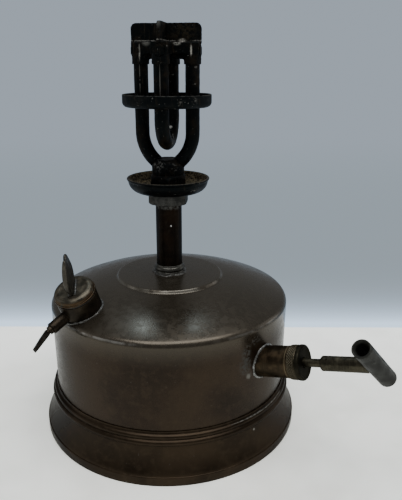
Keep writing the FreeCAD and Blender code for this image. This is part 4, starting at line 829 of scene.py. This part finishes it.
def rising_tube(side, label):
    """One tube from the hub's slope up into the head."""
    run_radius = TUBE_CIRCLE - BEND_R * (1 - SQRT_HALF)
    run_height = BEND_Z - BEND_R * SQRT_HALF
    drop = (run_radius + run_height - HUB_APEX) / 2 + 2.2 * SQRT_HALF
    path = [(run_radius - drop, run_height - drop)] + arc((TUBE_CIRCLE - BEND_R, BEND_Z), BEND_R, -45, 0, 16)
    path += [(TUBE_CIRCLE, BEND_Z + (TUBE_TOP - BEND_Z) * step / 20) for step in range(1, 21)]
    mesh = sweep([BURNER @ Vector((x * side, 0, z)) for x, z in path], TUBE_R, rough=0.1, seed=side)
    make(label, mesh, TUBE_SOOT, [label.replace("bar", "tube")])


def return_bend():
    """U-tube with the jet's boss."""
    down = [(TUBE_CIRCLE, TUBE_TOP - (TUBE_TOP - RETURN_Z) * step / 16) for step in range(16)]
    path = down + arc((0, RETURN_Z), TUBE_CIRCLE, 0, -180, 32) + [(-y, z) for y, z in down[::-1]]
    mesh = sweep([BURNER @ Vector((0, y, z)) for y, z in path], TUBE_R, rough=0.12, seed=5.0)
    bore, base, seat = 1.8, 193.5, 196.77
    boss = rounded([(bore, base), (4.2, base), (3.6, 195.4, 0.5), (3.6, seat, 0.3), (bore, seat)])
    turn(boss, 48, BURNER, mesh=mesh)
    make("return_bend", mesh, RETURN_SOOT, ["return_tube"])


def dish():
    """Flame dish: flat floor with a round hole, upright rim."""
    low, top, radius, hole, sheet = 213.5, 221.1, 27.8, 8.6, 1.1
    outline = rounded([(hole, low, 0.3), (radius, low, 3.0), (radius, top, 0.45), (radius - sheet, top, 0.45),
                       (radius - sheet, low + sheet, 1.9), (hole, low + sheet, 0.3)], 8)

    def bent(point, angle):
        point = uneven(16.0, 6.1, 0.22)(point, angle)
        point.z += 0.18 * wobble(point, 18.0, 2.9)
        return point

    mesh = turn(divided(outline, 1.6), 128, BURNER, bent)
    make("dish", mesh, DISH_SOOT, ["flame_dish"])


def hub():
    """Hexagon, waist and block whose two slopes take the rising tubes."""
    flats, corner, block, ridge = 11.2, 12.93, 10.5, 6.2
    corner_turn = radians(-78.0)

    def hexed(point, angle):
        limit = flats / cos((angle - corner_turn) % radians(60) - radians(30))
        return polar(min(limit, hypot(point.x, point.y)), angle, point.z)

    outline = divided([(0, HUB_LOW), (corner, HUB_LOW), (corner, 168.3), (11.3, 170.6), (10.2, 171.2),
                       (block, 172.2), (block, 178.2), (8.3, HUB_TOP), (0, HUB_TOP)], 1.2)
    mesh = turn(outline, 180, BURNER, hexed)
    for side in (1, -1):
        normal = BURNER.to_3x3() @ Vector((side, 0, 1)).normalized()
        cut = bmesh.ops.bisect_plane(mesh, geom=mesh.verts[:] + mesh.edges[:] + mesh.faces[:],
                                     plane_co=(0, 0, HUB_TOP + ridge), plane_no=normal, clear_outer=True)
        rim = [item for item in cut["geom_cut"] if isinstance(item, bmesh.types.BMEdge)]
        bmesh.ops.edgenet_fill(mesh, edges=rim)
    softened("hub", "burner_hub", HUB_SOOT, 0.3, 6, 0.1, data=metres("hub", mesh))


def burner():
    """Everything above the cup."""
    hub()
    rising_tube(1, "rising_bar_right")
    rising_tube(-1, "rising_bar_left")
    return_bend()
    dish()
    softened("head", "burner_head", HEAD_SOOT, 0.34, 7, 0.13)
    softened("plugs", "channel_plugs", SOOT, 0.2, 3, 0.04, 0.9)


# ---- solder beads


def bead(fitting, look, matrix, inner, height, widths, segments=160, start=0.0):
    """An irregular bead of solder that hugs a round fitting and lies on the tank.

    widths are (mean, swing, radius, size, seed): the noise on a circle that the bead's width follows.
    """
    axis = (matrix.to_3x3() @ Vector((0, 0, 1))).normalized()
    mean, swing, circle, size, seed = widths
    across, sunk = 9, 0.35
    mesh = bmesh.new()
    rings = []
    for step in range(segments):
        angle = tau * step / segments
        spread = mean + swing * wobble(polar(circle, angle), size, seed)
        places = [land(matrix @ polar(inner + spread * part / across, angle, start), axis)
                  for part in range(across + 1)]
        ring = []
        for part, place in enumerate(places):
            share = part / across
            rise = height * sqrt(max(0.0, 1 - share ** 2)) * (1 + 0.35 * wobble(place, 1.7, 3.0))
            rise += 0.16 * wobble(place, 0.8, 9.0) * (1 - share)
            ring.append(mesh.verts.new(place + tank_normal(place) * max(rise, 0.02)))
        for part in (across, across // 2, 0):
            ring.append(mesh.verts.new(places[part] - tank_normal(places[part]) * sunk))
        rings.append(ring)
    skin(mesh, rings, closed=True)
    make(fitting + "_bead", mesh, look, [fitting + "_solder_ring"])


def beads():
    """Solder at the pump, the filler and the riser."""
    bead("pump", SOLDER, PUMP, 9.7, 0.75, (1.3, 0.6, 9, 4.0, 1.0), start=84.0)
    bead("filler", FILLER_SOLDER, FILLER, 12.5, 0.75, (0.95, 0.4, 12, 3.0, 2.0), 200)
    bead("riser", DULL_SOLDER, axis_matrix((0, 0, 104), 0, 0), 9.6, 0.85, (2.3, 1.3, 10, 4.5, 6.0))


# ---- pump


def pump():
    """Barrel, knurled cap, rod, sleeve and handle."""
    mesh = turn(divided(pipe(8.6, 9.69, 12.0, 104.0, 0.2), 3.0), 96, PUMP)
    make("barrel", mesh, BARREL_BRASS, ["pump_barrel"])
    pump_cap()
    thread, shank, low, neck, end = 2.0, 2.51, 31.5, 39.1, 133.0
    rod = [(0, low), (thread, low), (thread, neck), (shank, neck), (shank, end), (0, end)]
    mesh = turn(divided(rod, 3.0), 40, PUMP)
    make("plunger_rod", mesh, ROD_BRASS, ["pump_rod"], body="plunger")
    softened("sleeve", "handle_sleeve", ROD_BRASS, 0.22, 3, 0.04, body="plunger")
    length, outer, rim, bore, bevel = 48.1, 5.43, 4.6, 3.55, 1.5
    grip = PUMP @ axis_matrix((0, 0, 150.8), 46.0, 90) @ Matrix.Translation((0, 0, -2.3 - length / 2))
    tube = rounded([(rim, 0, 0.35), (outer, 0, 0.6), (outer, length, 0.6), (rim, length, 0.35),
                    (bore, length - bevel, 0.5), (bore, bevel, 0.5)])
    mesh = turn(divided(tube, 2.0), 72, grip, uneven(7.0, 5.5, 0.05, 1.0))
    make("grip", mesh, HANDLE_METAL, ["pump_handle"], body="plunger")


def pump_cap():
    """Screwed cap with a plain ring, a diamond-knurled band and a plain rim."""
    start, end, bore, rod_hole, rim = 98.8, 108.5, 9.75, 2.91, 10.74
    band_start, band_end, band_r, teeth, depth, rows = 100.7, 105.7, 10.3, 40, 0.55, 26
    points = [(bore, start), (9.85, start), (9.9, start + 0.6), (9.8, start + 0.9), (9.95, start + 1.3)]
    length = band_end - band_start - 0.5
    points += [(band_r, band_start + 0.25 + length * row / rows) for row in range(rows + 1)]
    points += rounded([
        (9.9, band_end - 0.1), (9.9, band_end + 0.25, 0.1), (rim, band_end + 0.45, 0.2), (rim, end, 1.5),
        (8.9, end - 0.02, 0.2), (8.6, end - 0.3, 0.2), (3.6, end - 0.3, 0.2), (rod_hole, end - 0.6, 0.2),
        (rod_hole, end - 3.4), (bore, end - 3.4),
    ])

    def knurl(point, angle):
        if not band_start + 0.2 < point.z < band_end - 0.2 or hypot(point.x, point.y) < 10.2:
            return point
        lean = (point.z - band_start) / (tau * band_r / teeth)
        spin = angle / tau * teeth
        crest = min(abs((spin + lean) % 1 - 0.5), abs((spin - lean) % 1 - 0.5)) * 2
        fade = min(1.0, (point.z - band_start - 0.2) / 0.5, (band_end - 0.2 - point.z) / 0.5)
        return point + outward(point) * ((crest - 0.5) * depth * fade + 0.05)

    mesh = turn(points, teeth * 10, PUMP, knurl)
    piece = make("knurled_cap", mesh, KNURL_BRASS, ["pump_cap"])
    piece.data.materials.append(CAP_FACE)
    piece.data.materials.append(BARREL_BRASS)
    inverse = PUMP.inverted()
    for face in piece.data.polygons:
        place = inverse @ (face.center / MM)
        if place.z > band_end + 0.3:
            face.material_index = 1
        elif place.z < band_start:
            face.material_index = 2


def valve_spring():
    """The check valve's spring: a fixed coil of wire over the CAD spring's height along the pump's axis."""
    wire, radius, pitch, lift, turn_steps = 0.3, 2.1, 1.3, 1.5, 32
    inverse = PUMP.inverted()
    heights = [(inverse @ (point.co / MM)).z for point in NODES["check_valve_spring"].data.vertices]
    low, high = min(heights), max(heights)
    rise = high - low - 2 * wire
    steps = round(rise / pitch * turn_steps)
    shares = (step / steps for step in range(steps + 1))
    path = [PUMP @ polar(radius, tau * share * rise / pitch, low + wire + rise * share) for share in shares]
    piece = make("valve_spring", sweep(path, wire, 12), STEEL, ["check_valve_spring"])
    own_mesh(piece)


# ---- filler and vent


def filler():
    """Neck with the vent's boss, cap, wing and its brazing, and the vent's thumb lever."""
    mesh = turn(divided(pipe(9.2, 12.5, -8.0, 13.4, 0.35, 0.2), 2.5), 96, FILLER)
    turn(divided(pipe(2.0, 3.6, 9.8, 22.9, 0.35, 0.2), 2.0), 48, VENT, mesh=mesh)
    make("neck", mesh, NECK_BRASS, ["filler_neck"])
    low, top, plug, skirt = 14.4, 18.8, 8.85, 12.75
    outline = rounded([
        (0, low - 8), (plug, low - 8, 0.5), (plug, low), (skirt, low, 0.25), (skirt, low + 1.0, 0.3),
        (12.3, low + 1.15, 0.1),
    ], 6)
    outline += [(8.9 + 3.55 * across, low + 1.3 + 3.1 * up) for across, up in arc((0, 0), 1, 0, 90, 18)]
    outline += [(8.5, top - 0.04), (8.1, top - 0.12), (0, top - 0.12)]
    mesh = turn(divided(outline, 1.5), 112, FILLER)
    make("lid", mesh, CAP_BRASS, ["filler_cap"], body="cap")
    wing(FILLER @ axis_matrix((0, 0, top), 32.0, 0))
    vent = VENT.copy()
    vent.translation *= MM
    lever = NODES["vent_lever"].data.copy()
    lever.transform(vent @ Matrix.Diagonal((1.3, 1.3, 1.0, 1.0)) @ vent.inverted())
    softened("thumb_lever", "vent_lever", LEVER_BRASS, 0.2, 5, 0.05, data=lever, body="vent")


def wing(place):
    """Two-lobed wing, fullest at its middle and thin at its rim, brazed on the cap along both its feet."""
    height, dip, columns, rows = 24.0, 1.4, 40, 60
    mesh = bmesh.new()
    feet = []
    for face in (1, -1):
        grid = []
        for row in range(rows + 1):
            rise = row / rows
            half = 6.6 + 2.5 * sin(pi * min(1.0, rise * 1.15) ** 0.9) - 1.4 * rise ** 3
            line = []
            for column in range(columns + 1):
                share = 2 * column / columns - 1
                top_here = height * (1 - 0.1 * abs(share) ** 5) - dip * exp(-(share / 0.34) ** 2)
                rim = max(0.0, 1 - abs(share) ** 10) * max(0.0, 1 - rise ** 20)
                thick = (1.1 + 0.6 * sin(pi * rise ** 0.8)) * rim ** 0.45
                thick *= 1 + 0.06 * wobble((share * 6, rise * 9, face), 1.5)
                bow = 3.0 * rise ** 2.1 - 0.8 * sin(pi * rise) * share
                point = Vector((half * share, face * thick + bow, top_here * rise - 0.3))
                line.append(mesh.verts.new(place @ point))
            grid.append(line)
        skin(mesh, grid, rings=False)
        feet.append(grid[0])
    skin(mesh, feet, rings=False)
    bmesh.ops.remove_doubles(mesh, verts=mesh.verts, dist=0.004)
    make("wing", mesh, WING_BRASS, ["cap_wing"], body="cap")
    for side, name in ((1, "braze_right"), (-1, "braze_left")):
        path = [place @ Vector((6.9 - 13.8 * step / 40, side * 1.7, -0.1)) for step in range(41)]
        size = [1.0 + 0.45 * wobble(point, 2.0, side * 2.0) for point in path]
        make(name, sweep(path, size, 16), WING_SOLDER, body="cap")


# ---- CAD nodes that stay, and the stage


def keep(look, *names):
    """Give CAD nodes a material."""
    for name in names:
        data = NODES[name].data
        data.materials.clear()
        data.materials.append(look)


CAMERA_YAW = -3.39
SHEET_END = 0.1269
# colours of the backdrop and of the painted glow on the ground behind the sheet: dimmer near, fuller further
# back, brightest at its foot
WALL, WALL_NEAR_GLOW, WALL_FOOT_GLOW = (0.358, 0.415, 0.482), (0.325, 0.383, 0.433), (0.99, 1.26, 1.58)


def stage():
    """A pale sheet on the floor, and bluish ground behind it that runs on into the backdrop. Both glow as
    painted light: the sheet more towards its back, the ground brightest just behind the sheet and then evenly
    bluish.
    """
    mesh = bmesh.new()
    bmesh.ops.create_grid(mesh, x_segments=1, y_segments=1, size=60.0)
    floor = in_scene("floor", bpy.data.meshes.new("floor"))
    mesh.to_mesh(floor.data)
    mesh.free()
    look = Look("pale_floor")
    heading = radians(-CAMERA_YAW)
    depth = look.along((sin(heading), cos(heading), 0))
    far = look.span(depth, SHEET_END - 0.0005, SHEET_END + 0.0005)
    clouds = look.span(look.noise(40, 4, 0.6), 0.4, 0.7)
    look.colour = look.mix(clouds, (0.84, 0.845, 0.81), (0.74, 0.745, 0.71))
    look.lay((0.46, 0.44, 0.4), look.noise(9, 3, 0.6, distortion=1.0), 0.7, 0.8, 0.2)
    # painted light: the ground behind the sheet glows bluish, a little brighter further back, with a bright
    # glow at its foot just behind the sheet
    wall = look.mix(look.span(depth, 0.45, 1.7), WALL_NEAR_GLOW, WALL)
    behind = look.math("DIVIDE", look.math("SUBTRACT", SHEET_END + 0.01, depth), 0.031)
    wall = look.mix(look.math("EXPONENT", look.math("MINIMUM", behind, 0.0)), wall, WALL_FOOT_GLOW)
    # the ground behind the sheet is black, lit only by its painted glow
    look.colour = look.mix(far, look.colour, (0, 0, 0))
    look.finish(0.85, 0.0, (), 0.0)
    # painted light: the sheet itself glows, brighter towards its back edge
    lit = look.mix(look.span(depth, 0.0, SHEET_END), (0.3, 0.305, 0.272), (0.52, 0.53, 0.51))
    look.feed(look.shader.inputs["Emission Color"], look.mix(far, lit, wall))
    look.shader.inputs["Emission Strength"].default_value = 1.0
    floor.data.materials.append(look.material)


def light(name, place, aim, energy, size, colour):
    """A soft rectangular light at a place that points at a height on the stove's axis, metres."""
    data = bpy.data.lights.new(name, "AREA")
    data.energy = energy
    data.color = colour
    data.shape = "RECTANGLE"
    data.size, data.size_y = size
    lamp = in_scene(name, data)
    lamp.location = place
    lamp.rotation_euler = (Vector((0, 0, aim)) - Vector(place)).to_track_quat("-Z", "Y").to_euler()


def studio():
    """Soft light from above and the sides, two small bluish lights behind and above, and a plain backdrop."""
    world = bpy.data.worlds.new("studio")
    bpy.context.scene.world = world
    world.use_nodes = True
    tree = world.node_tree
    all_round = tree.nodes["Background"]
    all_round.inputs["Color"].default_value = (0.66, 0.68, 0.7, 1)
    all_round.inputs["Strength"].default_value = 0.4
    backdrop = tree.nodes.new("ShaderNodeBackground")
    backdrop.inputs["Color"].default_value = (*WALL, 1)
    path = tree.nodes.new("ShaderNodeLightPath")
    either = tree.nodes.new("ShaderNodeMixShader")
    ends = path.outputs["Is Camera Ray"], all_round.outputs[0], backdrop.outputs[0]
    for end, socket in zip(ends, either.inputs):
        tree.links.new(end, socket)
    tree.links.new(either.outputs[0], tree.nodes["World Output"].inputs[0])
    white, bluish = (1, 1, 1), (0.68, 0.86, 1.0)
    light("ceiling", (0.1, -0.35, 1.5), 0, 29, (1.6, 1.0), white)
    light("window_left", (-0.19, 0.59, 1.44), 0.1, 2.3, (0.24, 0.18), bluish)
    light("window_right", (0.19, 0.59, 1.44), 0.1, 1.05, (0.18, 0.18), bluish)
    light("left_fill", (-1.3, -0.1, 0.5), 0.1, 1.6, (0.8, 0.8), white)
    light("right_fill", (1.3, 0.3, 0.5), 0.1, 1.8, (0.6, 0.8), white)


def camera():
    """The photograph's camera, solved from the round outlines in the picture."""
    sensor, focal_pixels, picture_height = 36.0, 561.4, 500
    pitch, roll = 71.86, 0.16
    data = bpy.data.cameras.new("camera")
    data.sensor_fit = "VERTICAL"
    data.sensor_height = sensor
    data.lens = sensor * focal_pixels / picture_height
    data.clip_start = 0.01
    eye = in_scene("camera", data)
    eye.location = (0, -0.3619, 0.2376)
    heading = Matrix.Rotation(radians(CAMERA_YAW), 4, "Z") @ Matrix.Rotation(radians(pitch), 4, "X")
    eye.rotation_euler = (heading @ Matrix.Rotation(radians(roll), 4, "Z")).to_euler()
    bpy.context.scene.camera = eye


camera()
studio()
stage()
tank()
foot()
riser()
cup()
burner()
beads()
pump()
valve_spring()
filler()
keep(TANK_BRASS, "tank_bottom")
keep(BARREL_BRASS, "pickup_tube", "fuel_strainer", "barrel_end_plug", "piston_nut", "piston_front_washer",
     "piston_back_washer", "check_valve_body")
keep(SOOT, "burner_washer", "jet_nipple")
keep(LEATHER, "pump_leather")
keep(RUBBER, "check_valve_disc", "filler_gasket")
keep(NECK_BRASS, "vent_washer", "vent_screw")
